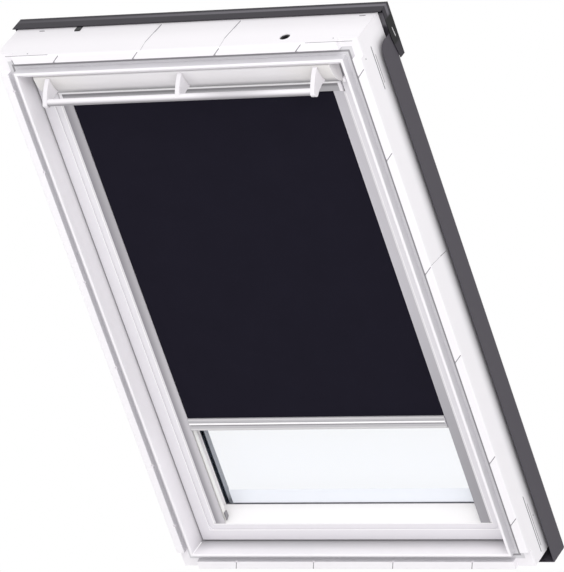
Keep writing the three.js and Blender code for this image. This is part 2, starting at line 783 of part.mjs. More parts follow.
function topCoverClip() {
  const foot = FRAME_HEIGHT - FLASHING_STEP + GAP;
  const head = FRAME_HEIGHT + TOP_COVER_STANDOFF - GAP;
  return alongX(outline([
    [CLIP_START, foot],
    [CLIP_START + CLIP_LENGTH, foot],
    [CLIP_START + CLIP_LENGTH, head],
    [CLIP_START + CLIP_POINT, head],
  ]), clipAcross - CLIP_WIDTH / 2, clipAcross + CLIP_WIDTH / 2);
}

function buildFrame() {
  const group = new THREE.Group();
  addPiece(group, 'frame_moulding', 'whiteCoat', frameMoulding());
  addFrameCores(group);
  addPiece(group, 'frame_seal', 'greyRubber', frameSeal());
  for (const [name, side] of sides) {
    addPiece(group, `frame_hinge_${name}`, 'steel', frameHinge(side));
    addPiece(group, `frame_cover_${name}`, 'darkSheet', frameSideCover(side));
  }
  addPiece(group, 'frame_cover_top', 'darkSheet', frameTopCover());
  addPiece(group, 'frame_cover_bottom', 'darkSheet', frameBottomCover());
  addPiece(group, 'top_cover_clip', 'blackPlastic', topCoverClip());
  addPiece(group, 'cable_grommet', 'blackPlastic', grommet());
  addPiece(group, 'latch_striker', 'steel', striker());
  addBoltBushes(group);
  return group;
}

// Sash

function sashSection() {
  const [outer, outerInside, band] = [even(sashInset), even(sashInset + SASH_WALL), even(bandInset)];
  const face = { side: faceInsetSide, bottom: faceInsetEnd, top: faceInsetTop };
  const seat = {
    side: faceInsetSide + SASH_LEAN_SIDE,
    bottom: faceInsetEnd + SASH_LEAN_BOTTOM,
    top: faceInsetTop + SASH_LEAN_TOP,
  };
  const rebate = { side: rebateSide, bottom: rebateEnd, top: rebateTop };
  const channel = {
    side: rebateSide - SASH_WALL,
    bottom: rebateEnd - SASH_WALL,
    top: rebateTop - SASH_WALL,
  };
  return [
    sectionCorner(outer, SASH_FRONT_DEPTH, SASH_FRONT_FILLET),
    sectionCorner(band, SASH_FRONT_DEPTH, SASH_BAND_FILLET, SASH_BAND_ROUND),
    sectionCorner(band, bandBack, 0, SASH_BAND_ROUND),
    sectionCorner(face, bandBack, SASH_FACE_FILLET),
    sectionCorner(seat, GLASS_SEAT_DEPTH),
    sectionCorner(rebate, GLASS_SEAT_DEPTH),
    sectionCorner(rebate, FRAME_DEPTH),
    sectionCorner(channel, FRAME_DEPTH),
    sectionCorner(channel, sashWebBack),
    sectionCorner(outerInside, sashWebBack),
    sectionCorner(outerInside, FRAME_DEPTH),
    sectionCorner(outer, FRAME_DEPTH),
  ];
}

const sashHingeOuter = sashInset + GAP;
const sashHingeInner = sashHingeOuter + SASH_HINGE_THICKNESS;

function sashHingePocket(side) {
  return hingePocket(side, sashInset - OVERRUN, sashHingeInner + GAP, SASH_HINGE_LENGTH);
}

const lockDepths = [PIVOT_DEPTH - LOCK_DEPTH / 2, PIVOT_DEPTH + LOCK_DEPTH / 2];

function lockPocket() {
  return block(
    [-LOCK_WIDTH / 2 - GAP, LOCK_WIDTH / 2 + GAP],
    [lockDepths[0] - GAP, lockDepths[1] + GAP],
    [lockTop - LOCK_HEIGHT - GAP, sashTop + OVERRUN],
  );
}

function thumbHeights() {
  return [boltFoot + BOLT_THUMB_RISE, boltFoot + BOLT_THUMB_RISE + BOLT_THUMB_HEIGHT];
}

function boltChannel() {
  const bore = rodZ(BOLT_RADIUS + PIVOT_CLEARANCE, boltAcross, PIVOT_DEPTH,
    boltFoot - GAP, sashTop + OVERRUN);
  const [low, high] = thumbHeights();
  const slot = block(
    [boltAcross - BOLT_THUMB_WIDTH / 2 - GAP, boltAcross + BOLT_THUMB_WIDTH / 2 + GAP],
    [SASH_FRONT_DEPTH - OVERRUN, PIVOT_DEPTH],
    [low - GAP, high + BOLT_TRAVEL + GAP],
  );
  return [bore, slot];
}

function sashMoulding() {
  return cut(ring(sashSection()), sashHingePocket(-1), sashHingePocket(1), lockPocket(), ...boltChannel());
}

function addSashCores(group) {
  const side = coreInsets(sashInset + SASH_WALL, rebateSide - SASH_WALL);
  const foot = coreInsets(sashInset + SASH_WALL, rebateEnd - SASH_WALL);
  const head = coreInsets(sashInset + SASH_WALL, rebateTop - SASH_WALL);
  const depths = [sashWebBack + GAP, FRAME_DEPTH];
  for (const [name, sign] of sides) {
    const across = [sign * (halfWidth - side.outer), sign * (halfWidth - side.inner)];
    const core = block(across, depths, [side.outer, FRAME_HEIGHT - side.outer]);
    addPiece(group, `sash_core_${name}`, 'timber', cut(core, sashHingePocket(sign)));
  }
  const reach = halfWidth - side.inner - GAP;
  const top = block([-reach, reach], depths, [FRAME_HEIGHT - head.inner, FRAME_HEIGHT - head.outer]);
  const bottom = block([-reach, reach], depths, [foot.outer, foot.inner]);
  addPiece(group, 'sash_core_top', 'timber', cut(top, lockPocket(), ...boltChannel()));
  addPiece(group, 'sash_core_bottom', 'timber', bottom);
}

function sashHinge(side) {
  const [y, z] = [HINGE_WIDTH / 2 - GAP, SASH_HINGE_LENGTH / 2 - GAP];
  const plate = outline([
    [PIVOT_DEPTH - y, pivotHeight - z, HINGE_CORNER],
    [PIVOT_DEPTH + y, pivotHeight - z, HINGE_CORNER],
    [PIVOT_DEPTH + y, pivotHeight + z, HINGE_CORNER],
    [PIVOT_DEPTH - y, pivotHeight + z, HINGE_CORNER],
  ]);
  const [outer, inner] = [side * (halfWidth - sashHingeOuter), side * (halfWidth - sashHingeInner)];
  const bore = rodX(PIVOT_PIN_RADIUS + PIVOT_CLEARANCE, PIVOT_DEPTH, pivotHeight,
    outer + side * OVERRUN, inner - side * OVERRUN);
  return cut(alongX(plate, outer, inner), bore);
}

// Double glazing

const paneInset = { side: PANE_INSET_SIDE, bottom: PANE_INSET_END, top: PANE_INSET_TOP };

function insetBy(inset, step) {
  return { side: inset.side + step, bottom: inset.bottom + step, top: inset.top + step };
}

function pane(front) {
  const reach = halfWidth - PANE_INSET_SIDE;
  const heights = [PANE_INSET_END, FRAME_HEIGHT - PANE_INSET_TOP];
  return block([-reach, reach], [front, front + PANE_THICKNESS], heights);
}

function glassSeal() {
  const show = {
    side: faceInsetSide + SASH_LEAN_SIDE + GLASS_SEAL_SHOW_SIDE,
    bottom: faceInsetEnd + SASH_LEAN_BOTTOM + GLASS_SEAL_SHOW_END,
    top: faceInsetTop + SASH_LEAN_TOP + GLASS_SEAL_SHOW_END,
  };
  const edge = insetBy(paneInset, GLASS_SEAL_EDGE);
  return flatRing(edge, show, glassSealFront, glassSealFront + GLASS_SEAL_THICKNESS);
}

function addGlazing(group) {
  const [spacerOuter, back] = [insetBy(paneInset, SPACER_MARGIN), spacerFront + SPACER_DEPTH];
  const spacer = flatRing(spacerOuter, insetBy(spacerOuter, SPACER_WIDTH), spacerFront, back);
  addPiece(group, 'glazing_seal', 'greyRubber', glassSeal());
  addPiece(group, 'inner_pane', 'glass', pane(innerPaneFront));
  addPiece(group, 'spacer_bar', 'blackPlastic', spacer);
  const edgeSeal = flatRing(paneInset, insetBy(spacerOuter, -GAP), spacerFront, back);
  addPiece(group, 'edge_seal', 'greyRubber', edgeSeal);
  addPiece(group, 'outer_pane', 'glass', pane(outerPaneFront));
}

// Sheet covers of the sash

function addSashCovers(group) {
  const outer = sashInset + SASH_COVER_EDGE;
  const innerSide = PANE_INSET_SIDE + SASH_COVER_OVER_PANE_SIDE;
  const innerFoot = PANE_INSET_END + SASH_COVER_OVER_PANE_END;
  const innerHead = PANE_INSET_TOP + SASH_COVER_OVER_PANE_END;
  const back = Math.max(FRAME_DEPTH, outerPaneBack) + SASH_COVER_RISE;
  const legs = [FRAME_DEPTH + GAP, outerPaneBack + GAP];
  for (const [name, side] of sides) {
    const corners = channelCorners(outer, innerSide, back, ...legs);
    const cover = sideMember(corners, side, outer, FRAME_HEIGHT - outer);
    addPiece(group, `sash_cover_${name}`, 'darkSheet', cover);
  }
  const reach = halfWidth - innerSide - GAP;
  const head = channelCorners(outer, innerHead, back, ...legs);
  const foot = channelCorners(outer, innerFoot, back, ...legs);
  addPiece(group, 'sash_cover_top', 'darkSheet', topMember(head, reach));
  addPiece(group, 'sash_cover_bottom', 'darkSheet', bottomMember(foot, reach));
}

// Latch and barrel bolt

function lockCase() {
  const body = block([-LOCK_WIDTH / 2, LOCK_WIDTH / 2], lockDepths, [lockTop - LOCK_HEIGHT, lockTop]);
  const [across, deep] = [TONGUE_WIDTH / 2 + GAP, TONGUE_THICKNESS / 2 + GAP];
  const foot = sashTop + TONGUE_PROUD - TONGUE_LENGTH - LATCH_TRAVEL - GAP;
  const depths = [PIVOT_DEPTH - deep, PIVOT_DEPTH + deep];
  return cut(body, block([-across, across], depths, [foot, sashTop + OVERRUN]));
}

function latchTongue() {
  const tip = sashTop + TONGUE_PROUD;
  const [front, back] = [PIVOT_DEPTH - TONGUE_THICKNESS / 2, PIVOT_DEPTH + TONGUE_THICKNESS / 2];
  return alongX(outline([
    [front, tip - TONGUE_LENGTH],
    [back, tip - TONGUE_LENGTH],
    [back, tip - TONGUE_BEVEL],
    [PIVOT_DEPTH, tip],
    [front, tip],
  ]), -TONGUE_WIDTH / 2, TONGUE_WIDTH / 2);
}

function barrelBolt() {
  const rod = rodZ(BOLT_RADIUS, boltAcross, PIVOT_DEPTH, boltFoot, boltTip);
  const thumb = block(
    [boltAcross - BOLT_THUMB_WIDTH / 2, boltAcross + BOLT_THUMB_WIDTH / 2],
    [SASH_FRONT_DEPTH - BOLT_THUMB_PROUD, PIVOT_DEPTH],
    thumbHeights(),
  );
  return join(rod, thumb);
}

// Ventilation flap: drawn about its hinge axis, forward is negative Y

function flapLine(shape) {
  shape.quadraticCurveTo(
    -FLAP_REACH * FLAP_BELLY_REACH_SHARE, FLAP_RISE * FLAP_BELLY_RISE_SHARE,
    -FLAP_BARREL_RADIUS, -FLAP_BARREL_RADIUS / 4);
  shape.lineTo(0, -FLAP_BARREL_RADIUS / 4);
}

function flapProfile() {
  const back = FLAP_HINGE_STANDOFF - FLAP_BACK_GAP;
  const shape = new THREE.Shape();
  shape.moveTo(back, FLAP_RISE);
  shape.lineTo(-FLAP_REACH + FLAP_NOSE_FILLET, FLAP_RISE);
  shape.quadraticCurveTo(-FLAP_REACH, FLAP_RISE, -FLAP_REACH, FLAP_RISE - FLAP_NOSE_FILLET);
  flapLine(shape);
  shape.closePath();
  return shape;
}

function flapHollow() {
  const back = FLAP_HINGE_STANDOFF + OVERRUN;
  const [reach, rise] = [FLAP_REACH - FLAP_SHEET, FLAP_RISE - FLAP_SHEET];
  const shape = new THREE.Shape();
  shape.moveTo(back, rise);
  shape.lineTo(-reach + FLAP_SHEET, rise);
  shape.quadraticCurveTo(-reach, rise, -reach, rise - FLAP_SHEET);
  shape.quadraticCurveTo(
    -reach * FLAP_BELLY_REACH_SHARE, FLAP_RISE * FLAP_BELLY_RISE_SHARE + FLAP_SHEET,
    -FLAP_BARREL_RADIUS, FLAP_SHEET - FLAP_BARREL_RADIUS / 4);
  shape.lineTo(back, FLAP_SHEET - FLAP_BARREL_RADIUS / 4);
  shape.closePath();
  return shape;
}

function ventilationFlap() {
  const shell = alongX(flapProfile(), -flapHalf, flapHalf, CURVE_STEPS);
  const hollow = alongX(flapHollow(), FLAP_SHEET - flapHalf, flapHalf - FLAP_SHEET, CURVE_STEPS);
  const barrel = rodX(FLAP_BARREL_RADIUS, 0, 0, -flapHalf, flapHalf);
  const boreRadius = FLAP_PIN_RADIUS + GAP;
  const bores = [-1, 1].map((side) =>
    rodX(boreRadius, 0, 0, side * (flapHalf - FLAP_PIN_LENGTH - GAP), side * (flapHalf + OVERRUN)));
  return cut(join(cut(shell, hollow), barrel), ...bores);
}

function flapLug(side) {
  const inner = flapHalf + LUG_WIDTH / 6;
  const foot = -LUG_HEIGHT / 2;
  const lug = alongX(outline([
    [foot, foot, LUG_HEIGHT / 4],
    [FLAP_HINGE_STANDOFF - GAP, foot],
    [FLAP_HINGE_STANDOFF - GAP, -foot],
    [foot, -foot, LUG_HEIGHT / 4],
  ]), side * inner, side * (inner + LUG_WIDTH));
  const pin = rodX(FLAP_PIN_RADIUS, 0, 0,
    side * (flapHalf - FLAP_PIN_LENGTH), side * (inner + LUG_WIDTH / 2));
  return join(lug, pin);
}

// Control bar: a tube held by three arms in front of the flap

function controlBar() {
  const section = annulus(BAR_RADIUS, BAR_RADIUS - BAR_WALL);
  const tube = alongX(section, -barHalf, barHalf, ROUND_SIDES / 2);
  return tube.translate(0, -BAR_REACH, BAR_RISE);
}

function armShape() {
  const nose = BAR_RADIUS + ARM_WALL;
  const shape = new THREE.Shape();
  shape.moveTo(0, FLAP_RISE * ARM_ROOT_TOP_SHARE);
  shape.lineTo(-FLAP_REACH, FLAP_RISE * ARM_ROOT_TOP_SHARE);
  shape.quadraticCurveTo(
    -BAR_REACH * ARM_CROWN_REACH_SHARE, FLAP_RISE * ARM_CROWN_RISE_SHARE,
    -BAR_REACH - nose, BAR_RISE);
  shape.absarc(-BAR_REACH, BAR_RISE, nose, Math.PI, 3 * Math.PI / 2);
  shape.quadraticCurveTo(
    -BAR_REACH * ARM_HOLLOW_REACH_SHARE, FLAP_RISE * ARM_HOLLOW_RISE_SHARE,
    -FLAP_REACH * FLAP_BELLY_REACH_SHARE, FLAP_RISE * ARM_ROOT_FOOT_SHARE);
  shape.lineTo(0, FLAP_RISE * ARM_ROOT_FOOT_SHARE);
  shape.closePath();
  return shape;
}

function armBody(from, to) {
  const arm = alongX(armShape(), from, to, CURVE_STEPS);
  const flapFill = alongX(flapProfile(), from - OVERRUN, to + OVERRUN, CURVE_STEPS);
  return cut(arm, flapFill.translate(0, -GAP, 0));
}

function endArm(side) {
  const inner = side * (barHalf - ARM_SOCKET);
  const outer = inner + side * ARM_THICKNESS;
  const socket = rodX(BAR_RADIUS + GAP, -BAR_REACH, BAR_RISE,
    inner - side * OVERRUN, side * (barHalf + GAP));
  return cut(armBody(Math.min(inner, outer), Math.max(inner, outer)), socket);
}

function middleArm() {
  const half = ARM_THICKNESS / 2;
  const nose = BAR_RADIUS + ARM_WALL;
  const bar = rodX(BAR_RADIUS + GAP, -BAR_REACH, BAR_RISE, -half - OVERRUN, half + OVERRUN);
  const below = block(
    [-half - OVERRUN, half + OVERRUN],
    [-BAR_REACH - nose - OVERRUN, -BAR_REACH + nose],
    [BAR_RISE - nose - OVERRUN, BAR_RISE + BAR_RADIUS / 2],
  );
  return cut(armBody(-half, half), bar, below);
}

function buildFlap() {
  const group = new THREE.Group();
  group.position.set(0, flapHingeDepth, flapHingeHeight);
  addPiece(group, 'ventilation_flap', 'flapCoat', ventilationFlap());
  addPiece(group, 'control_bar', 'whiteCoat', controlBar());
  addPiece(group, 'bar_arm_middle', 'whiteCoat', middleArm());
  for (const [name, side] of sides) {
    addPiece(group, `bar_arm_${name}`, 'whiteCoat', endArm(side));
    addPiece(group, `flap_lug_${name}`, 'whiteCoat', flapLug(side));
  }
  return group;
}

// Blind

function blindCasing() {
  const back = blindFront + CASING_DEPTH;
  const shell = alongX(outline([
    [blindFront, casingFoot, CASING_FILLET],
    [back, casingFoot],
    [back, casingTop],
    [blindFront, casingTop, CASING_FILLET],
  ]), -casingHalf, casingHalf);
  const hollow = block(
    [-casingHalf - OVERRUN, casingHalf + OVERRUN],
    [blindFront + CASING_SHEET, back - CASING_SHEET],
    [casingFoot + CASING_SHEET, casingTop - CASING_SHEET],
  );
  const slotFront = fabricFront - CASING_SLOT_LEAD;
  const slot = block(
    [-casingHalf - OVERRUN, casingHalf + OVERRUN],
    [slotFront, slotFront + CASING_SLOT],
    [casingFoot - OVERRUN, rollerHeight],
  );
  return cut(shell, hollow, slot);
}

function casingEndCap(side) {
  const inner = casingHalf + GAP;
  const back = blindFront + CASING_DEPTH;
  const edge = (depth) => sideFaceAcross(depth) - END_CAP_SIDE_GAP;
  const straight = blindFront + END_CAP_STRAIGHT;
  const cap = alongZ(outline([
    [side * inner, blindFront],
    [side * edge(straight), blindFront, CASING_FILLET / 2],
    [side * edge(straight), straight],
    [side * edge(back), back],
    [side * inner, back],
  ]), casingFoot, casingTop);
  const pin = rodX(ROLLER_PIN_RADIUS, rollerDepth, rollerHeight,
    side * (inner + GAP), side * (inner - ROLLER_PIN_LENGTH));
  return join(cap, pin);
}

function railFoot() {
  const foot = [
    [SASH_FRONT_DEPTH, faceInsetEnd + RAIL_SEAT_GAP],
    [bandBack, faceInsetEnd + RAIL_SEAT_GAP],
    [GLASS_SEAT_DEPTH, faceInsetEnd + SASH_LEAN_BOTTOM + RAIL_SEAT_GAP],
    [GLASS_SEAT_DEPTH, 0],
    [SASH_FRONT_DEPTH, 0],
  ];
  return alongX(outline(foot), -halfWidth, halfWidth);
}

function sideRail(side) {
  const corners = [
    [railInner, railFront],
    [railOuter, railFront],
    [railOuter, railBack],
    [railInner, railBack],
    [railInner, railSlotBack],
    [railInner + RAIL_SHEET, railSlotBack],
    [railInner + RAIL_SHEET, railBack - RAIL_SHEET],
    [railOuter - RAIL_SHEET, railBack - RAIL_SHEET],
    [railOuter - RAIL_SHEET, railSlotFront],
    [railInner, railSlotFront],
  ];
  const rail = alongZ(outline(corners.map(([x, y]) => [side * x, y])), faceInsetEnd, casingFoot - GAP);
  return cut(rail, railFoot());
}

function railClip(side) {
  const outer = side * (railInner - GAP);
  const front = railFront + RAIL_CLIP_START;
  const clip = block(
    [outer - side * RAIL_CLIP_THICKNESS, outer],
    [front, front + RAIL_CLIP_DEPTH],
    [faceInsetEnd, faceInsetEnd + SASH_LEAN_BOTTOM / 2 + RAIL_CLIP_HEIGHT],
  );
  return cut(clip, railFoot());
}

function buildBlindHousing() {
  const group = new THREE.Group();
  addPiece(group, 'blind_casing', 'aluminium', blindCasing());
  for (const [name, side] of sides) {
    addPiece(group, `casing_cap_${name}`, 'whiteCoat', casingEndCap(side));
    addPiece(group, `side_rail_${name}`, 'aluminium', sideRail(side));
    addPiece(group, `rail_clip_${name}`, 'blackPlastic', railClip(side));
  }
  return group;
}

function buildRoller() {
  const group = new THREE.Group();
  group.position.set(0, rollerDepth, rollerHeight);
  const reach = casingHalf - GAP;
  const inner = ROLLER_RADIUS - ROLLER_WALL;
  const tube = alongX(annulus(ROLLER_RADIUS, inner), -reach, reach, ROUND_SIDES / 2);
  const roll = alongX(annulus(ROLL_RADIUS, ROLLER_RADIUS + GAP), -fabricHalf, fabricHalf, ROUND_SIDES / 2);
  addPiece(group, 'roller_tube', 'aluminium', tube);
  addPiece(group, 'fabric_roll', 'fabric', roll);
  for (const [name, side] of sides) {
    const section = annulus(inner - GAP, ROLLER_PIN_RADIUS + ROLLER_PIN_CLEARANCE);
    const plug = alongX(section, side * (reach - PLUG_LENGTH), side * reach, ROUND_SIDES / 2);
    addPiece(group, `roller_plug_${name}`, 'blackPlastic', plug);
  }
  return group;
}

function bottomBar() {
  const reach = railInner - GAP;
  const back = blindFront + BOTTOM_BAR_DEPTH;
  const body = alongX(outline([
    [blindFront, bottomBarFoot, BOTTOM_BAR_FILLET],
    [back, bottomBarFoot, BOTTOM_BAR_FILLET],
    [back, bottomBarTop],
    [blindFront, bottomBarTop, BOTTOM_BAR_FILLET],
  ]), -reach, reach);
  const run = [-reach - OVERRUN, reach + OVERRUN];
  const slot = block(run, [fabricFront - GAP, fabricBack + GAP], [fabricFoot - GAP, bottomBarTop + OVERRUN]);
  const lines = BAR_LINE_SHARES.map((share) => {
    const height = bottomBarFoot + share * BOTTOM_BAR_HEIGHT;
    const depths = [blindFront - OVERRUN, blindFront + BAR_LINE_DEPTH];
    return block(run, depths, [height, height + BAR_LINE_WIDTH]);
  });
  return cut(body, slot, ...lines);
}

function slider(side) {
  const top = fabricFoot - GAP;
  return block(
    [side * railInner, side * (railInner + SLIDER_REACH)],
    [railSlotFront + GAP, railSlotBack - GAP],
    [top - SLIDER_HEIGHT, top],
  );
}

function buildSheet() {
  const group = new THREE.Group();
  const fabric = block([-fabricHalf, fabricHalf], [fabricFront, fabricBack], [fabricFoot, rollerHeight]);
  addPiece(group, 'blind_fabric', 'fabric', fabric);
  addPiece(group, 'bottom_bar', 'aluminium', bottomBar());
  for (const [name, side] of sides) addPiece(group, `bar_slider_${name}`, 'blackPlastic', slider(side));
  return group;
}

function buildSash() {
  const group = new THREE.Group();
  addPiece(group, 'sash_moulding', 'sashCoat', sashMoulding());
  addSashCores(group);
  for (const [name, side] of sides) addPiece(group, `sash_hinge_${name}`, 'steel', sashHinge(side));
  addGlazing(group);
  addSashCovers(group);
  addPiece(group, 'lock_case', 'steel', lockCase());
  addPiece(group, 'latch_tongue', 'steel', latchTongue());
  addPiece(group, 'barrel_bolt', 'steel', barrelBolt());
  group.add(buildFlap(), buildBlindHousing(), buildRoller(), buildSheet());
  return group;
}

function addPiece(group, name, finish, geometry) {
  const shown = geometry.clone();
  shown.computeVertexNormals();
  const material = new THREE.MeshStandardMaterial({ ...finishes[finish], flatShading: true });
  const mesh = new THREE.Mesh(shown, material);
  mesh.name = name;
  group.add(mesh);
}

const roofWindow = new THREE.Group();
roofWindow.name = 'roof_window_with_blind';
roofWindow.position.y = -ORIGIN_DEPTH;
roofWindow.add(buildFrame(), buildSash());

export default roofWindow;
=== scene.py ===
# A centre-pivot roof window with a blackout roller blind, dressed for the camera.
# Everything is in metres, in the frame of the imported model: X across, Y outwards, Z up the slope.

import json
from math import cos, pi, radians, sin

import bmesh
import bpy
from mathutils import Matrix, Vector


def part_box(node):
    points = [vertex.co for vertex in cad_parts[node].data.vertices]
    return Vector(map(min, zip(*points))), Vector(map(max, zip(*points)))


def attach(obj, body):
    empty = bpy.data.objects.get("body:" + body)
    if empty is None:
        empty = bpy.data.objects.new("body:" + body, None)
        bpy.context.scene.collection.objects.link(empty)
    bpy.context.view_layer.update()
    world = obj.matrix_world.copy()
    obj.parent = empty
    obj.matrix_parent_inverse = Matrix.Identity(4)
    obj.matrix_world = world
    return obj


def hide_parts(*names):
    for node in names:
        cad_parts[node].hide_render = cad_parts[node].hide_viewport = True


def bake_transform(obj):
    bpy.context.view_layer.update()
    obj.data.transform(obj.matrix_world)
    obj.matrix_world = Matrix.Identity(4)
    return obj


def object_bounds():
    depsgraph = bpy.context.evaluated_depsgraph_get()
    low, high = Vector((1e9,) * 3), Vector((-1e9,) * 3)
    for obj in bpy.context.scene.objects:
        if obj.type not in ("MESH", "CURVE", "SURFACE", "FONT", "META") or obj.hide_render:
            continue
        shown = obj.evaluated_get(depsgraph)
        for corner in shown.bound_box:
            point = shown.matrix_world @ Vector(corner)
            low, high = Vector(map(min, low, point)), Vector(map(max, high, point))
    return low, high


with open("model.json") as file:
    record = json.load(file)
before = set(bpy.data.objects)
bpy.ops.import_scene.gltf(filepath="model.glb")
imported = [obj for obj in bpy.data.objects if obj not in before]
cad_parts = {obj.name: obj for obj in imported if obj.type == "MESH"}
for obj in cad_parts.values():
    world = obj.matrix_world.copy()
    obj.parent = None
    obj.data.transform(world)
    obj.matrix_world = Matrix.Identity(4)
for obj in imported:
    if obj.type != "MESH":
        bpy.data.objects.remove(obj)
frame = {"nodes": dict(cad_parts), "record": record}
cad_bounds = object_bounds()
scene = bpy.context.scene
scene.view_settings.view_transform = "Standard"

# Photograph and camera
IMAGE_HEIGHT = 572
FOCAL_PIXELS = 6549.6
SENSOR_HEIGHT = 36
CAMERA_AZIMUTH = radians(34.94)
CAMERA_ELEVATION = radians(27.768)
CAMERA_ROLL = radians(19.398)
CAMERA_DISTANCE = 12.361
CAMERA_AIM = Vector((0, -0.040, 0.589))
AIM_RIGHT = -0.0316
AIM_DOWN = 0.0550
CLIP_END = 200

# Light and floor
WORLD_STRENGTH = 0.60
SEEN_STRENGTH = 1
LAMP_SIZE = 5
KEY_ENERGY = 345
KEY_PLACE = Vector((3.41, -3.66, 6.21))
FILL_ENERGY = 55
FILL_PLACE = Vector((-5.0, -4.0, 2.0))
FLOOR_GAP = 0.004
FLOOR_SIZE = 60
PURE_WHITE = (1, 1, 1, 1)

# Directions that a face can look in
FRONT = (0, -1, 0)
TOP = (0, 0, 1)
RIGHT = (1, 0, 0)

# Frame
FRAME_HALF_WIDTH = 0.390
FRAME_HEIGHT = 1.178
LIP_FRONT = -0.040
LIP_WIDTH = 0.0175
GROOVE_END = 0.034
GROOVE_FLOOR = -0.0275
RIDGE_FRONT = -0.047
RIDGE_END = 0.040
SIDE_NOTCHES = [share * FRAME_HEIGHT for share in (0.087, 0.208, 0.403, 0.57, 0.782, 0.935)]
END_NOTCHES = [(share - 0.5) * 2 * FRAME_HALF_WIDTH for share in (0.164, 0.387, 0.613, 0.836)]

# Sash and flap
SASH_BAND_FRONT = -0.003
SASH_BAND_END = 0.068
SASH_STEP_FRONT = -0.0005
SASH_FACE_SIDE = 0.081
SASH_FACE_BOTTOM = 0.080
SASH_FACE_TOP = 1.045
FLAP_HALF_WIDTH = 0.320

# Lines laid into a face
LINE_RISE = 0.00008
LINE_SINK = 0.0006
SEAM_WIDTH = 0.0015
HAIRLINE_WIDTH = 0.0006
DOT_RADIUS = 0.0014
DOT_SIDES = 14

# Grain of the finishes: counts to the metre, and depths and a thread in metres
COAT_CLOUDS = 9
COAT_GRAIN = 900
COAT_GRAIN_DEPTH = 0.00004
SHEET_GRAIN = 1400
PLASTIC_GRAIN = 1100
RUBBER_GRAIN = 700
DRAWN_ACROSS = (20, 700, 700)
DRAWN_UPWARDS = (700, 700, 20)
DRAWN_STEEL = (500, 500, 30)
STREAK_DEPTH = 0.00003
TIMBER_GRAIN = (60, 60, 4)
TIMBER_GRAIN_DEPTH = 0.0002
CLOTH_CLOUDS = 14
THREAD = 0.0007
WAVE_PERIOD = pi / 10  # of the wave texture at scale 1

# Glass, with more gloss than plain glass has
GLASS_IOR = 1.9
GLASS_CLOUDS = 3
GLASS_BLUE = (0.44, 0.60, 1.0, 1)
GLASS_PALER_BLUE = (0.50, 0.65, 1.0, 1)
GLASS_REFLECTION_BLUE = (0.30, 0.47, 0.93, 1)


# Camera


def camera_axes():
    back = Vector((
        sin(CAMERA_AZIMUTH) * cos(CAMERA_ELEVATION),
        -cos(CAMERA_AZIMUTH) * cos(CAMERA_ELEVATION),
        sin(CAMERA_ELEVATION),
    ))
    level_right = Vector((cos(CAMERA_AZIMUTH), sin(CAMERA_AZIMUTH), 0))
    level_up = back.cross(level_right)
    right = level_right * cos(CAMERA_ROLL) - level_up * sin(CAMERA_ROLL)
    up = back.cross(right)
    return right, up, back


def add_camera():
    data = bpy.data.cameras.new("camera")
    data.sensor_fit = "VERTICAL"
    data.sensor_height = SENSOR_HEIGHT
    data.lens = FOCAL_PIXELS / IMAGE_HEIGHT * SENSOR_HEIGHT
    data.clip_end = CLIP_END
    right, up, back = camera_axes()
    place = CAMERA_AIM - AIM_RIGHT * right + AIM_DOWN * up + CAMERA_DISTANCE * back
    camera = bpy.data.objects.new("camera", data)
    camera.matrix_world = Matrix((
        (right.x, up.x, back.x, place.x),
        (right.y, up.y, back.y, place.y),
        (right.z, up.z, back.z, place.z),
        (0, 0, 0, 1),
    ))
    scene.collection.objects.link(camera)
    scene.camera = camera


# Node trees


def srgb(red, green, blue):
    """A colour written as it shows on a screen, 0 to 255."""
    def linear(value):
        share = value / 255
        return share / 12.92 if share <= 0.04045 else ((share + 0.055) / 1.055) ** 2.4
    return (linear(red), linear(green), linear(blue), 1)


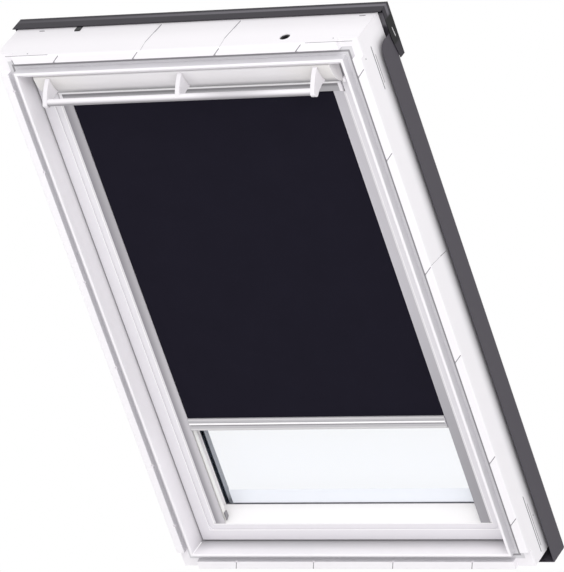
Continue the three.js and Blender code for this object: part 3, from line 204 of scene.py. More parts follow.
class Nodes:
    """Adds nodes to one material and links them."""

    def __init__(self, name):
        self.name = name
        self.material = bpy.data.materials.new(name)
        self.material.use_nodes = True
        self.tree = self.material.node_tree
        self.tree.nodes.clear()
        self.output = self.tree.nodes.new("ShaderNodeOutputMaterial")
        self.shader = self.tree.nodes.new("ShaderNodeBsdfPrincipled")
        self.link(self.shader, "BSDF", self.output, "Surface")

    def add(self, kind, **settings):
        """A new node; each setting names one of its properties or inputs."""
        node = self.tree.nodes.new(kind)
        for key, value in settings.items():
            if hasattr(node, key):
                setattr(node, key, value)
            else:
                node.inputs[key.replace("_", " ")].default_value = value
        return node

    def link(self, source, out, target, into):
        self.tree.links.new(source.outputs[out], target.inputs[into])

    def set(self, **inputs):
        """Values that are the same all over the surface."""
        for key, value in inputs.items():
            self.shader.inputs[key.replace("_", " ")].default_value = value

    def place(self, scale=(1, 1, 1)):
        coords = self.add("ShaderNodeTexCoord")
        mapping = self.add("ShaderNodeMapping", Scale=scale)
        self.link(coords, "Object", mapping, "Vector")
        return mapping

    def noise(self, place, scale, detail=3.0, roughness=0.5):
        node = self.add("ShaderNodeTexNoise", Scale=scale, Detail=detail, Roughness=roughness)
        self.link(place, "Vector", node, "Vector")
        return node

    def between(self, source, out, low, high):
        node = self.add("ShaderNodeMapRange", To_Min=low, To_Max=high)
        self.link(source, out, node, "Value")
        return node

    def uneven(self, source, into, middle, spread):
        """Feeds one of the shader's inputs from a texture, around a middle value."""
        node = self.between(source, "Fac", middle - spread, middle + spread)
        self.link(node, "Result", self.shader, into)

    def two_colours(self, source, out, first, second):
        node = self.add("ShaderNodeMix", data_type="RGBA")
        node.inputs["A"].default_value = first
        node.inputs["B"].default_value = second
        self.link(source, out, node, "Factor")
        self.link(node, "Result", self.shader, "Base Color")

    def axis(self, letter):
        """One of the object's own coordinates."""
        coords = self.add("ShaderNodeTexCoord")
        parts = self.add("ShaderNodeSeparateXYZ")
        self.link(coords, "Object", parts, "Vector")
        return parts.outputs[letter]

    def from_middle(self):
        """The distance from the window's middle line."""
        return self.work("ABSOLUTE", self.axis("X"))

    def work(self, operation, *values):
        node = self.add("ShaderNodeMath", operation=operation)
        for socket, value in zip(node.inputs, values):
            if isinstance(value, (int, float)):
                socket.default_value = value
            else:
                self.tree.links.new(value, socket)
        return node.outputs["Value"]

    def overlap(self, *masks):
        """The masks multiplied with each other."""
        product = masks[0]
        for mask in masks[1:]:
            product = self.work("MULTIPLY", product, mask)
        return product

    def rise(self, value, start, end):
        """0 up to start and 1 from end, smooth between; start may be the larger."""
        node = self.add("ShaderNodeMapRange", interpolation_type="SMOOTHSTEP")
        node.inputs["From Min"].default_value = min(start, end)
        node.inputs["From Max"].default_value = max(start, end)
        node.inputs["To Min"].default_value = 0 if start < end else 1
        node.inputs["To Max"].default_value = 1 if start < end else 0
        self.tree.links.new(value, node.inputs["Value"])
        return node.outputs["Result"]

    def within(self, value, low, high, soft=0.0002):
        """1 from low to high, with soft edges outside them."""
        return self.overlap(self.rise(value, low - soft, low), self.rise(value, high + soft, high))

    def frame_inset(self):
        """How far a point lies inside the frame's outline."""
        side = self.work("SUBTRACT", FRAME_HALF_WIDTH, self.from_middle())
        middle = FRAME_HEIGHT / 2
        level = self.work("ABSOLUTE", self.work("SUBTRACT", self.axis("Z"), middle))
        return self.work("MINIMUM", side, self.work("SUBTRACT", middle, level))

    def colour(self):
        """The socket that feeds the base colour now."""
        return self.shader.inputs["Base Color"].links[0].from_socket

    def paint(self, mask, colour, strength=1):
        """Lays a second colour over the base colour where the mask is 1."""
        if strength < 1:
            mask = self.overlap(mask, strength)
        node = self.add("ShaderNodeMix", data_type="RGBA")
        before = self.colour()
        self.tree.links.new(mask, node.inputs["Factor"])
        self.tree.links.new(before, node.inputs["A"])
        node.inputs["B"].default_value = colour
        self.link(node, "Result", self.shader, "Base Color")

    def paint_crease_shade(self, reach, darkest, where=None):
        """Painted shade in inner corners, darkest where ambient occlusion finds them closed in."""
        node = self.add("ShaderNodeAmbientOcclusion", samples=8)
        node.inputs["Distance"].default_value = reach
        before = self.colour()
        share = self.between(node, "AO", darkest, 1)
        mixed = self.add("ShaderNodeMix", data_type="RGBA", blend_type="MULTIPLY")
        if where is None:
            mixed.inputs["Factor"].default_value = 1
        else:
            self.tree.links.new(where, mixed.inputs["Factor"])
        self.tree.links.new(before, mixed.inputs["A"])
        self.link(share, "Result", mixed, "B")
        self.link(mixed, "Result", self.shader, "Base Color")

    def bump(self, source, out, strength, distance):
        node = self.add("ShaderNodeBump", Strength=strength, Distance=distance)
        self.link(source, out, node, "Height")
        self.link(node, "Normal", self.shader, "Normal")


def seen_directly(tree):
    """1 for a ray that shows the surroundings to the camera, in gloss or through glass too."""
    path = tree.nodes.new("ShaderNodeLightPath")
    seen = path.outputs["Is Camera Ray"]
    for kind in ("Is Glossy Ray", "Is Transmission Ray"):
        either = tree.nodes.new("ShaderNodeMath")
        either.operation = "MAXIMUM"
        tree.links.new(seen, either.inputs[0])
        tree.links.new(path.outputs[kind], either.inputs[1])
        seen = either.outputs["Value"]
    return seen


# Kinds of finish


def tint(colour, factor):
    return tuple(min(1, value * factor) for value in colour[:3]) + (1,)


def coated(name, colour, roughness, spread=0.02, grain=COAT_GRAIN, gloss=0.5):
    """Lacquer, plastic or rubber: slight orange peel, cloudy colour and roughness."""
    nodes = Nodes(name)
    place = nodes.place()
    clouds = nodes.noise(place, COAT_CLOUDS, detail=4)
    peel = nodes.noise(place, grain, detail=2)
    nodes.two_colours(clouds, "Fac", tint(colour, 1 - spread), tint(colour, 1 + spread))
    nodes.uneven(clouds, "Roughness", roughness, spread=0.05)
    nodes.bump(peel, "Fac", strength=0.35, distance=COAT_GRAIN_DEPTH)
    nodes.set(Specular_IOR_Level=gloss)
    return nodes


def brushed(name, colour, metallic, roughness, stretch):
    """Drawn metal: fine streaks along one direction."""
    nodes = Nodes(name)
    streaks = nodes.noise(nodes.place(stretch), scale=1, detail=5, roughness=0.7)
    nodes.two_colours(streaks, "Fac", tint(colour, 0.93), tint(colour, 1.07))
    nodes.uneven(streaks, "Roughness", roughness, spread=0.08)
    nodes.bump(streaks, "Fac", strength=0.2, distance=STREAK_DEPTH)
    nodes.set(Metallic=metallic)
    return nodes


def timber(name, colour):
    """Bare softwood: grain drawn out along the slope."""
    nodes = Nodes(name)
    grain = nodes.noise(nodes.place(TIMBER_GRAIN), scale=1, detail=6, roughness=0.65)
    nodes.two_colours(grain, "Fac", tint(colour, 0.8), tint(colour, 1.15))
    nodes.uneven(grain, "Roughness", middle=0.65, spread=0.10)
    nodes.bump(grain, "Fac", strength=0.3, distance=TIMBER_GRAIN_DEPTH)
    return nodes


def woven(name, colour, thread):
    """Plain blackout weave: two crossed waves at the thread's pitch."""
    nodes = Nodes(name)
    place = nodes.place()
    weave = nodes.add("ShaderNodeMath", operation="MULTIPLY")
    for i, direction in enumerate(("X", "Z")):
        wave = nodes.add("ShaderNodeTexWave", bands_direction=direction,
                         Scale=WAVE_PERIOD / thread, Distortion=0.6, Detail=1)
        nodes.link(place, "Vector", wave, "Vector")
        nodes.link(wave, "Fac", weave, i)
    clouds = nodes.noise(place, CLOTH_CLOUDS, detail=5)
    nodes.two_colours(clouds, "Fac", tint(colour, 0.9), tint(colour, 1.12))
    nodes.bump(weave, "Value", strength=0.5, distance=thread / 4)
    nodes.set(Roughness=0.9, Specular_IOR_Level=0.06)
    return nodes


def clear_glass(name, alpha, reflection_at_left=False):
    """Float glass: almost clear, a faint blue; where asked, a painted blue reflection towards its left
    edge.
    """
    nodes = Nodes(name)
    clouds = nodes.noise(nodes.place(), GLASS_CLOUDS, detail=2)
    nodes.uneven(clouds, "Roughness", middle=0.035, spread=0.015)
    nodes.two_colours(clouds, "Fac", GLASS_BLUE, GLASS_PALER_BLUE)
    if reflection_at_left:
        # Painted reflection, bluer towards the left edge
        leftwards = (-0.120, -0.260)
        nodes.paint(nodes.rise(nodes.axis("X"), *leftwards), GLASS_REFLECTION_BLUE)
    nodes.set(Alpha=alpha, IOR=GLASS_IOR)
    return nodes


# Finishes of single pieces

WHITE = srgb(246, 243, 247)
BAND_WHITE = srgb(234, 231, 236)
REVEAL_WHITE = srgb(250, 248, 249)
GROOVE_GREY = srgb(219, 217, 221)
PAINTED_GROOVE_SHADOW = srgb(150, 148, 152)
PAINTED_SILL_SHADE = srgb(170, 168, 172)
PAINTED_COVER_SHADE = srgb(118, 116, 121)
PAINTED_TOP_SHADE = srgb(222, 219, 223)
SHEET_GREY = srgb(70, 66, 74)


def frame_white():
    """The frame's moulding, with painted shade. A shade's pair of places is where it starts and where it
    is full.
    """
    nodes = coated("white_coat", WHITE, roughness=0.42)
    inset = nodes.frame_inset()
    depth = nodes.axis("Y")
    height = nodes.axis("Z")

    # Painted shade in the corners inside the groove, except under the head
    blur, under_head = 0.0005, (1.13, 1.10)
    inner = nodes.rise(inset, GROOVE_END - blur, GROOVE_END + blur)
    nodes.paint_crease_shade(reach=0.040, darkest=0.68, where=nodes.overlap(inner, nodes.rise(height, *under_head)))

    # Painted shade on the ledge behind the bottom ridge, darker outwards
    ledge_level, ledge_inset, outwards = (0.0425, 0.0405), (0.0388, 0.0396), (-0.040, 0.004)
    ledge = nodes.overlap(nodes.rise(height, *ledge_level), nodes.rise(inset, *ledge_inset))
    nodes.paint(nodes.overlap(ledge, nodes.rise(depth, *outwards)), PAINTED_SILL_SHADE)

    # The groove in a light grey, partly its own colour and partly painted shade, with a strip of painted
    # shadow along its floor
    behind_ridge, strip_inset, floor_level = 0.0004, (0.0245, 0.0285), (-0.0292, -0.0282)
    groove = nodes.overlap(
        nodes.within(inset, LIP_WIDTH, GROOVE_END),
        nodes.within(depth, RIDGE_FRONT + behind_ridge, GROOVE_FLOOR),
    )
    nodes.paint(groove, GROOVE_GREY)
    shadow_strip = nodes.overlap(nodes.within(inset, *strip_inset), nodes.rise(depth, *floor_level))
    nodes.paint(nodes.overlap(shadow_strip, groove), PAINTED_GROOVE_SHADOW)

    # Painted shade on the outer sides, greyer towards the covers and below the head
    outer_face, towards_cover, below_top = (0.3865, 0.3890), (0.000, 0.035), (1.155, 1.090)
    sides = nodes.rise(nodes.from_middle(), *outer_face)
    near_cover = nodes.overlap(sides, nodes.rise(depth, *towards_cover), nodes.rise(height, *below_top))
    nodes.paint(near_cover, PAINTED_COVER_SHADE, strength=0.65)

    # Painted shade on the top face, greyer towards its cover
    top_level, towards_back = (1.1745, 1.1775), (-0.010, 0.056)
    top_face = nodes.overlap(nodes.rise(height, *top_level), nodes.rise(depth, *towards_back))
    nodes.paint(top_face, PAINTED_TOP_SHADE, strength=0.5)
    return nodes


def sash_white():
    """Greyer on its front band than on the reveal behind the step, with painted shade in its inner
    corners.
    """
    nodes = coated("sash_coat", BAND_WHITE, roughness=0.42)
    behind_step = (SASH_STEP_FRONT, SASH_STEP_FRONT + 0.002)
    nodes.paint(nodes.rise(nodes.axis("Y"), *behind_step), REVEAL_WHITE)
    # Painted shade in the inner corners
    nodes.paint_crease_shade(reach=0.025, darkest=0.72)
    return nodes


def flap_white():
    """Painted shade towards its lower edge and in its inner corners, a painted reflection tint towards
    both ends, and painted light on the end faces.
    """
    nodes = coated("flap_coat", srgb(232, 229, 232), roughness=0.4)
    reflection_sideways, lower_edge = (0.18, 0.30), (1.101, 1.083)
    end_faces = (FLAP_HALF_WIDTH - 0.0003, FLAP_HALF_WIDTH - 0.0010)
    # Painted reflection: a warmer tint towards both ends
    nodes.paint(nodes.rise(nodes.from_middle(), *reflection_sideways), srgb(230, 227, 226))
    between_ends = nodes.rise(nodes.from_middle(), *end_faces)
    # Painted shade towards the lower edge
    nodes.paint(nodes.overlap(nodes.rise(nodes.axis("Z"), *lower_edge), between_ends), srgb(168, 166, 169))
    # Painted light on the end faces, which lie in shadow
    nodes.paint(nodes.work("SUBTRACT", 1, between_ends), srgb(254, 252, 252))
    # Painted shade in the inner corners, except on the end faces
    nodes.paint_crease_shade(reach=0.030, darkest=0.65, where=between_ends)
    return nodes


def rail_inner_side(nodes):
    """Painted light: white behind the rail's front face, on its shaded slot and inner side."""
    behind_front = (0.0006, 0.0014)
    nodes.paint(nodes.rise(nodes.axis("Y"), *behind_front), srgb(248, 246, 244))
    return nodes


def left_rail():
    """Grey front, with painted shade darker upwards and along its outer edge."""
    nodes = brushed("rail_left", srgb(200, 197, 202), metallic=0.2, roughness=0.45, stretch=DRAWN_UPWARDS)
    upwards, outer_edge = (0.15, 0.80), (-0.288, -0.304)
    nodes.paint(nodes.rise(nodes.axis("Z"), *upwards), srgb(168, 165, 170), strength=0.9)
    nodes.paint(nodes.rise(nodes.axis("X"), *outer_edge), srgb(138, 135, 141), strength=0.8)
    return rail_inner_side(nodes)


def right_rail():
    """Grey front, with painted shade darker towards its foot."""
    nodes = brushed("rail_right", srgb(194, 191, 197), metallic=0.2, roughness=0.45, stretch=DRAWN_UPWARDS)
    towards_foot = (0.70, 0.12)
    nodes.paint(nodes.rise(nodes.axis("Z"), *towards_foot), srgb(160, 158, 163))
    return rail_inner_side(nodes)


def casing_metal():
    """The blind's casing: painted shadow on the upper part of its front, a painted highlight along its
    upper edge.
    """
    nodes = brushed("casing", srgb(172, 170, 174), metallic=0.2, roughness=0.42, stretch=DRAWN_ACROSS)
    shadow_from, highlight_from = (1.0605, 1.0655), (1.0682, 1.0690)
    # Painted shadow on the upper part of the front
    nodes.paint(nodes.rise(nodes.axis("Z"), *shadow_from), srgb(132, 130, 134))
    # Painted highlight along the upper edge
    nodes.paint(nodes.rise(nodes.axis("Z"), *highlight_from), srgb(252, 250, 252))
    return nodes


def bar_white():
    """The control bar: white above, painted shadow right of its middle arm, painted shade below."""
    nodes = coated("bar_coat", srgb(240, 237, 241), roughness=0.3)
    shadow_start, shadow_end, underside = (0.01, 0.11), (0.25, 0.12), (1.0968, 1.0880)
    along = nodes.axis("X")
    # Painted shadow of the middle arm
    arm_shadow = nodes.overlap(nodes.rise(along, *shadow_start), nodes.rise(along, *shadow_end))
    nodes.paint(arm_shadow, srgb(196, 193, 197), strength=0.8)
    # Painted shade on the underside
    nodes.paint(nodes.rise(nodes.axis("Z"), *underside), srgb(146, 143, 148))
    return nodes


def dark_sheet(name, colour, gloss=0.3):
    """Coated sheet metal of the outer covers."""
    return coated(name, colour, roughness=0.5, spread=0.05, grain=SHEET_GRAIN, gloss=gloss)


def top_sheet():
    """The top cover: a painted highlight along its back, brighter to the right, and painted shadow on its
    folded ends.
    """
    nodes = dark_sheet("top_sheet", srgb(44, 41, 48), gloss=0.25)
    roll_depth, roll_level, brighter_right = (0.0785, 0.0845), (1.150, 1.168), (-0.75, 0.36)
    # Painted highlight along the back, brighter to the right
    roll = nodes.within(nodes.axis("Y"), *roll_depth, soft=0.002)
    roll = nodes.overlap(roll, nodes.rise(nodes.axis("Z"), *roll_level))
    nodes.paint(nodes.overlap(roll, nodes.rise(nodes.axis("X"), *brighter_right)), srgb(104, 101, 108))
    # Painted shadow on the folded ends
    end_faces, end_level = (0.3970, 0.3980), (1.104, 1.156)
    ends = nodes.rise(nodes.from_middle(), *end_faces)
    shaded = nodes.within(nodes.axis("Z"), *end_level, soft=0.004)
    nodes.paint(nodes.overlap(ends, shaded), srgb(5, 5, 7))
    return nodes


def side_sheet():
    """The side covers: painted light at their upper ends, beside the top cover, over the shadow there."""
    nodes = dark_sheet("side_sheet", SHEET_GREY)
    under_top_cover = (1.136, 1.146)
    nodes.paint(nodes.rise(nodes.axis("Z"), *under_top_cover), srgb(132, 129, 136))
    return nodes


def spacer_metal():
    """The spacer between the panes: grey inside, black where it meets the inner pane."""
    nodes = brushed("spacer_metal", srgb(162, 164, 170), metallic=0.3, roughness=0.4, stretch=DRAWN_ACROSS)
    at_inner_pane = (0.0472, 0.0466)
    nodes.paint(nodes.rise(nodes.axis("Y"), *at_inner_pane), srgb(14, 14, 16))
    return nodes


FINISHES = [
    frame_white(),
    coated("plain_white", WHITE, roughness=0.42),
    sash_white(),
    timber("timber", srgb(217, 185, 138)),
    dark_sheet("dark_sheet", SHEET_GREY),
    top_sheet(),
    side_sheet(),
    coated("black_plastic", srgb(26, 26, 29), roughness=0.5, spread=0.05, grain=PLASTIC_GRAIN),
    coated("grey_rubber", srgb(84, 84, 90), roughness=0.75, spread=0.05, grain=RUBBER_GRAIN),
    brushed("steel", srgb(186, 188, 190), metallic=1.0, roughness=0.35, stretch=DRAWN_STEEL),
    flap_white(),
    left_rail(),
    right_rail(),
    casing_metal(),
    bar_white(),
    coated("arm_coat", srgb(232, 229, 233), roughness=0.35),
    brushed("aluminium", srgb(188, 186, 190), metallic=0.3, roughness=0.4, stretch=DRAWN_ACROSS),
    spacer_metal(),
    woven("blackout_fabric", srgb(26, 24, 35), THREAD),
    clear_glass("glass", alpha=0.015),
    clear_glass("outer_glass", alpha=0.040, reflection_at_left=True),
    coated("pane_foot_reflection", srgb(241, 244, 251), roughness=0.25, spread=0.01),
    coated("seam_shade", srgb(136, 134, 139), roughness=0.6, spread=0.05),
    coated("seal_grey", srgb(168, 166, 171), roughness=0.7, spread=0.05),
    coated("trim_white", srgb(229, 226, 230), roughness=0.4),
    brushed("bead_highlight", srgb(206, 204, 206), metallic=0.2, roughness=0.35, stretch=DRAWN_ACROSS),
    coated("groove_grey", srgb(140, 138, 142), roughness=0.5, spread=0.05),
    coated("white_and_highlight", srgb(253, 251, 253), roughness=0.3, spread=0.005),
]
MATERIALS = {nodes.name: nodes.material for nodes in FINISHES}

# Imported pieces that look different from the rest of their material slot
OWN_FINISH = {
    "blind_casing": "casing",
    "casing_cap_left": "plain_white",
    "casing_cap_right": "plain_white",
    "control_bar": "bar_coat",
    "bar_arm_left": "arm_coat",
    "bar_arm_middle": "arm_coat",
    "bar_arm_right": "arm_coat",
    "frame_cover_left": "side_sheet",
    "frame_cover_right": "side_sheet",
    "frame_cover_top": "top_sheet",
    "frame_seal": "seal_grey",
    "outer_pane": "outer_glass",
    "rail_clip_left": "groove_grey",
    "rail_clip_right": "groove_grey",
    "flap_lug_left": "plain_white",
    "flap_lug_right": "plain_white",
    "side_rail_left": "rail_left",
    "side_rail_right": "rail_right",
    "spacer_bar": "spacer_metal",
}


def finish_nodes():
    for row in frame["record"]["subparts"]:
        node, slot = row["node"], row["material_slot"]
        material = MATERIALS[OWN_FINISH.get(node, slot)]
        piece = frame["nodes"][node]
        piece.data.materials.clear()
        piece.data.materials.append(material)


# Building meshes


def new_object(name, mesh, material):
    data = bpy.data.meshes.new(name)
    bmesh.ops.recalc_face_normals(mesh, faces=mesh.faces)
    mesh.to_mesh(data)
    mesh.free()
    piece = bpy.data.objects.new(name, data)
    scene.collection.objects.link(piece)
    data.materials.append(MATERIALS[material])
    return piece


def new_piece(name, mesh, body, material):
    piece = new_object(name, mesh, material)
    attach(piece, body)


def solid_between(mesh, near, far):
    """A closed solid from one end outline to the other."""
    near = [mesh.verts.new(point) for point in near]
    far = [mesh.verts.new(point) for point in far]
    mesh.faces.new(near)
    mesh.faces.new(far[::-1])
    for i in range(len(near)):
        j = (i + 1) % len(near)
        mesh.faces.new((near[i], far[i], far[j], near[j]))


def prism(mesh, outline, normal, rise, sink):
    """A closed solid over a flat outline, from sink below it to rise above it."""
    normal = Vector(normal)
    solid_between(
        mesh,
        [Vector(point) + normal * rise for point in outline],
        [Vector(point) - normal * sink for point in outline],
    )


def strip(mesh, across, up, front, rise, sink):
    """A flat rectangle that faces the room, between two places across and two up."""
    (left, right), (foot, head) = across, up
    outline = [(left, front, foot), (right, front, foot), (right, front, head), (left, front, head)]
    prism(mesh, outline, FRONT, rise, sink)


def line(mesh, start, end, width, normal):
    """A fine line laid into a face, drawn out to a point at each end."""
    start, end, normal = Vector(start), Vector(end), Vector(normal)
    along = (end - start).normalized()
    across = along.cross(normal) * width / 2
    tip = along * width
    outline = [start - tip, start + across, end + across, end + tip, end - across, start - across]
    prism(mesh, outline, normal, LINE_RISE, LINE_SINK)


def dot(mesh, middle, normal):
    middle, normal = Vector(middle), Vector(normal)
    first = normal.orthogonal().normalized()
    second = normal.cross(first)
    turns = [2 * pi * i / DOT_SIDES for i in range(DOT_SIDES)]
    outline = [middle + (first * cos(turn) + second * sin(turn)) * DOT_RADIUS for turn in turns]
    prism(mesh, outline, normal, LINE_RISE, LINE_SINK)


def on_lip(x, z):
    return (x, LIP_FRONT, z)


def on_top(x, y):
    return (x, y, FRAME_HEIGHT)


def on_right(y, z):
    return (FRAME_HALF_WIDTH, y, z)


# Blind fabric


def fabric_sheet():
    """The stretched cloth, from the roller down to the bottom bar, in columns across its width, in place
    of the imported one.
    """
    low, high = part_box("blind_fabric")
    columns = 24
    mesh = bmesh.new()
    rows = []
    for z in (low[2], high[2]):
        for y in (low[1], high[1]):
            rows.append([
                mesh.verts.new((low[0] + (high[0] - low[0]) * i / columns, y, z))
                for i in range(columns + 1)
            ])
    front_low, back_low, front_high, back_high = rows
    for i in range(columns):
        mesh.faces.new((front_low[i], front_low[i + 1], front_high[i + 1], front_high[i]))
        mesh.faces.new((back_low[i + 1], back_low[i], back_high[i], back_high[i + 1]))
        mesh.faces.new((front_low[i + 1], front_low[i], back_low[i], back_low[i + 1]))
        mesh.faces.new((front_high[i], front_high[i + 1], back_high[i + 1], back_high[i]))
    for i in (0, columns):
        corners = [front_low[i], back_low[i], back_high[i], front_high[i]]
        mesh.faces.new(corners if i else corners[::-1])
    sheet = new_object("fabric_sheet", mesh, "blackout_fabric")
    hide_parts("blind_fabric")
    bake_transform(sheet)


# Joint lines and marks on the frame


def lip_seams(mesh):
    """Joint lines on the lip, each from a notch to the outline, and one at the upper left corner."""
    inner_top, outer_top, inner_foot, outer_foot = 1.1612, 1.1750, 0.0150, 0.0020
    top_back, top_lean, foot_lean = 0.002, 0.013, 0.005
    for x in END_NOTCHES:
        line(mesh, on_lip(x - top_back, inner_top), on_lip(x + top_lean, outer_top), SEAM_WIDTH, FRONT)
        line(mesh, on_lip(x, inner_foot), on_lip(x - foot_lean, outer_foot), SEAM_WIDTH, FRONT)
    inner_side, outer_side, side_rise, side_lean = 0.3755, 0.3885, 0.002, 0.015
    for z in SIDE_NOTCHES:
        line(mesh, on_lip(inner_side, z + side_rise), on_lip(outer_side, z + side_lean), SEAM_WIDTH, FRONT)
    corner_start, corner_end = on_lip(-0.3528, 1.1690), on_lip(-0.3502, 1.1585)
    line(mesh, corner_start, corner_end, SEAM_WIDTH, FRONT)


def top_seams(mesh):
    """Joint lines, moulding marks, two dots and two lines of painted shade along the front edge on the top
    face.
    """
    joints, dots = (-0.068, 0.1035), ((-0.319, -0.032), (0.339, -0.026))
    back, bend, front, lean, gap = 0.053, -0.008, -0.038, 0.004, 0.001
    for x in joints:
        line(mesh, on_top(x, back), on_top(x - lean, bend), SEAM_WIDTH, TOP)
        line(mesh, on_top(x - lean, bend - gap), on_top(x, front), HAIRLINE_WIDTH, TOP)
    for x, y in dots:
        dot(mesh, on_top(x, y), TOP)
    mark_width, edge_width, edge = 0.0020, 0.0008, -0.0385
    for low, high, y in ((-0.334, -0.325, 0.0505), (0.359, 0.369, 0.0515)):
        line(mesh, on_top(low, y), on_top(high, y), mark_width, TOP)
    # Painted shade along the front edge near both ends
    for low, high in ((-0.365, -0.272), (0.286, 0.384)):
        line(mesh, on_top(low, edge), on_top(high, edge), edge_width, TOP)


def side_seams(mesh):
    """Paired lines at both ends of the right side, two dots and a joint above the middle."""
    first, second, first_width, second_width = 0.0055, 0.0115, 0.0024, 0.0015
    shorter_below, shorter_above = 0.01, 0.02
    for low, high in ((1.048, 1.137), (0.011, 0.136)):
        line(mesh, on_right(first, low), on_right(first, high), first_width, RIGHT)
        start, end = on_right(second, low + shorter_below), on_right(second, high - shorter_above)
        line(mesh, start, end, second_width, RIGHT)
    for y, z in ((-0.023, 1.129), (0.019, 0.085)):
        dot(mesh, on_right(y, z), RIGHT)
    hairline_start, hairline_end = on_right(-0.038, 0.689), on_right(0.001, 0.684)
    joint_start, joint_end = on_right(0.002, 0.684), on_right(0.026, 0.680)
    line(mesh, hairline_start, hairline_end, HAIRLINE_WIDTH, RIGHT)
    line(mesh, joint_start, joint_end, SEAM_WIDTH, RIGHT)


def frame_seams():
    mesh = bmesh.new()
    lip_seams(mesh)
    top_seams(mesh)
    side_seams(mesh)
    new_piece("frame_seams", mesh, "frame", "seam_shade")


# Small trims


def loop_strip(mesh, inset_side, inset_bottom, front, width):
    """A mitred strip that faces the room: up both sides and across the bottom."""
    side, foot = FRAME_HALF_WIDTH - inset_side, inset_bottom
    for x_out, x_in in ((-side, -side + width), (side, side - width)):
        upright = [(x_out, front, foot), (x_in, front, foot + width),
                   (x_in, front, SASH_FACE_TOP), (x_out, front, SASH_FACE_TOP)]
        prism(mesh, upright, FRONT, LINE_RISE, LINE_SINK)
    bottom = [(-side, front, foot), (side, front, foot),
              (side - width, front, foot + width), (-side + width, front, foot + width)]
    prism(mesh, bottom, FRONT, LINE_RISE, LINE_SINK)


def sash_fillet_highlights():
    """Near-white strips: painted highlights on the rounded edges of the sash's two steps."""
    mesh = bmesh.new()
    width = 0.0013
    loop_strip(mesh, SASH_BAND_END - width, SASH_BAND_END - width, SASH_BAND_FRONT, width)
    loop_strip(mesh, SASH_FACE_SIDE - width, SASH_FACE_BOTTOM - width, SASH_STEP_FRONT, width)
    new_piece("sash_fillet_highlights", mesh, "sash", "white_and_highlight")


def rail_trims():
    """Light strips that close the gap between each rail and the sash."""
    mesh = bmesh.new()
    inner, outer, foot, head = 0.3052, 0.3089, 0.082, 1.049
    middle, half_thickness = 0.0012, 0.001
    for side in (-1, 1):
        strip(mesh, (side * inner, side * outer), (foot, head), middle, half_thickness, half_thickness)
    new_piece("rail_trims", mesh, "sash", "trim_white")


def glazing_beads():
    """The white beads that hold the inner pane along its two sides."""
    mesh = bmesh.new()
    outer, inner, foot, head = 0.3001, 0.2951, 0.0990, 1.0715
    front, rise, sink = 0.0392, 0.0006, 0.0005
    for side in (-1, 1):
        strip(mesh, (side * outer, side * inner), (foot, head), front, rise, sink)
    new_piece("glazing_beads", mesh, "sash", "white_and_highlight")


def glass_band():
    """A pale strip along the foot of the inner pane: a painted reflection."""
    mesh = bmesh.new()
    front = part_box("inner_pane")[0][1]
    half, foot, head, thickness = 0.279, 0.0985, 0.1325, 0.00015
    strip(mesh, (-half, half), (foot, head), front, thickness, 0.0)
    new_piece("glass_band", mesh, "sash", "pane_foot_reflection")


def cover_glint():
    """A painted highlight on the folded edge of the top cover's right end."""
    mesh = bmesh.new()
    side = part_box("frame_cover_top")[1][0]
    upper_end, lower_end, glint_width = (side, 0.0795, 1.1330), (side, 0.0820, 1.1150), 0.0020
    line(mesh, upper_end, lower_end, glint_width, RIGHT)
    new_piece("cover_glint", mesh, "frame", "bead_highlight")


def bar_beads():
    """The three rolled beads, in painted highlight, and a grey line of painted shade where the groove runs
    along the front of the blind's bottom bar.
    """
    low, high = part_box("bottom_bar")
    end_inset, sunk, steps = 0.001, 0.0004, 8
    half, front = high[0] - end_inset, low[1]
    turns = [pi * i / steps for i in range(steps + 1)]
    # Painted highlights: lighter beads, the middle one brightest
    for name, middle, height, depth, material in (
        ("bar_bead_upper", 0.3252, 0.0040, 0.0006, "bead_highlight"),
        ("bar_bead_middle", 0.3158, 0.0042, 0.0014, "white_and_highlight"),
        ("bar_bead_lower", 0.3035, 0.0045, 0.0008, "bead_highlight"),
    ):
        mesh = bmesh.new()
        profile = [(front + sunk - depth * sin(turn), middle + height / 2 * cos(turn)) for turn in turns]
        solid_between(mesh, [(-half, y, z) for y, z in profile], [(half, y, z) for y, z in profile])
        new_piece(name, mesh, "blind", material)
    # Painted shade: a grey line laid where the groove is
    mesh = bmesh.new()
    groove, groove_width, groove_inset = 0.3125, 0.0022, 0.003
    start, end = (-half + groove_inset, front, groove), (half - groove_inset, front, groove)
    line(mesh, start, end, groove_width, FRONT)
    new_piece("bar_groove_shade", mesh, "blind", "groove_grey")


def head_filler():
    """The light strip that closes the gap between the frame's head and the flap."""
    mesh = bmesh.new()
    half, foot, head = 0.349, 1.1316, 1.1379
    front, rise, sink = -0.0385, 0.0005, 0.010
    strip(mesh, (-half, half), (foot, head), front, rise, sink)
    new_piece("head_filler", mesh, "frame", "trim_white")


def corner_mitre_highlight():
    """A near-white strip: a painted highlight on the rounded edge in the frame's lower left inner corner.
    """
    mesh = bmesh.new()
    corner = Vector((-FRAME_HALF_WIDTH + RIDGE_END, 0, RIDGE_END))
    size, sunk, near_depth, far_depth = 0.0016, -0.0004, RIDGE_FRONT + 0.001, -0.006
    near, far = (
        [corner + Vector((x, depth, z)) for x, z in ((sunk, sunk), (size, sunk), (sunk, size))]
        for depth in (near_depth, far_depth)
    )
    solid_between(mesh, near, far)
    new_piece("corner_mitre_highlight", mesh, "frame", "white_and_highlight")


# Floor, world and lamps


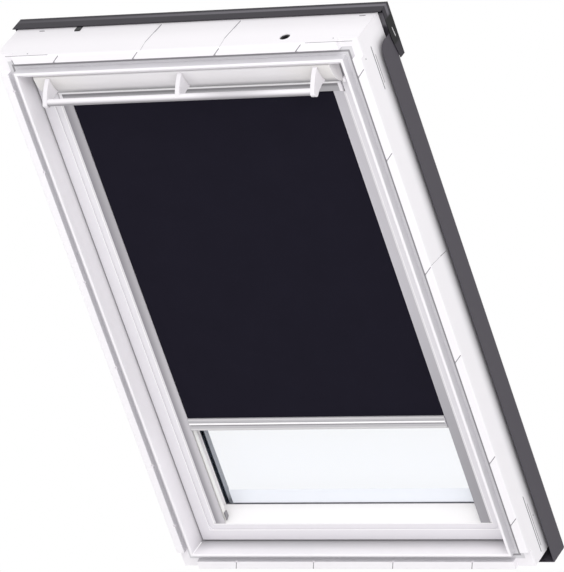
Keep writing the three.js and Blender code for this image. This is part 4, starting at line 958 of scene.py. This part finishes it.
def add_stage():
    """A floor that shows as pure white, without shadows, and sends pale light back up."""
    nodes = Nodes("floor_and_backdrop")
    nodes.set(Base_Color=srgb(240, 240, 240), Roughness=0.9)
    white = nodes.add("ShaderNodeEmission", Color=PURE_WHITE, Strength=1.0)
    mixed = nodes.add("ShaderNodeMixShader")
    nodes.tree.links.new(seen_directly(nodes.tree), mixed.inputs[0])
    nodes.tree.links.new(nodes.shader.outputs["BSDF"], mixed.inputs[1])
    nodes.tree.links.new(white.outputs["Emission"], mixed.inputs[2])
    nodes.link(mixed, "Shader", nodes.output, "Surface")
    mesh = bpy.data.meshes.new("floor")
    half, level = FLOOR_SIZE / 2, cad_bounds[0][2] - FLOOR_GAP
    mesh.from_pydata(
        [(-half, -half, level), (half, -half, level), (half, half, level), (-half, half, level)],
        [], [(0, 1, 2, 3)])
    floor = bpy.data.objects.new("floor", mesh)
    mesh.materials.append(nodes.material)
    scene.collection.objects.link(floor)


def add_world():
    """Even light from all round, which shows as pure white."""
    world = bpy.data.worlds.new("studio")
    world.use_nodes = True
    tree = world.node_tree
    tree.nodes.clear()
    output = tree.nodes.new("ShaderNodeOutputWorld")
    mixed = tree.nodes.new("ShaderNodeMixShader")
    tree.links.new(seen_directly(tree), mixed.inputs[0])
    for i, strength in ((1, WORLD_STRENGTH), (2, SEEN_STRENGTH)):
        light = tree.nodes.new("ShaderNodeBackground")
        light.inputs["Strength"].default_value = strength
        light.inputs["Color"].default_value = PURE_WHITE
        tree.links.new(light.outputs["Background"], mixed.inputs[i])
    tree.links.new(mixed.outputs["Shader"], output.inputs["Surface"])
    scene.world = world


def add_lamp(name, place, energy):
    data = bpy.data.lights.new(name, "AREA")
    data.size = LAMP_SIZE
    data.energy = energy
    lamp = bpy.data.objects.new(name, data)
    lamp.location = place
    lamp.rotation_euler = (CAMERA_AIM - place).to_track_quat("-Z", "Y").to_euler()
    scene.collection.objects.link(lamp)


add_camera()
finish_nodes()
fabric_sheet()
frame_seams()
sash_fillet_highlights()
rail_trims()
glazing_beads()
glass_band()
cover_glint()
bar_beads()
head_filler()
corner_mitre_highlight()
add_stage()
add_world()
add_lamp("key", KEY_PLACE, KEY_ENERGY)
add_lamp("fill", FILL_PLACE, FILL_ENERGY)
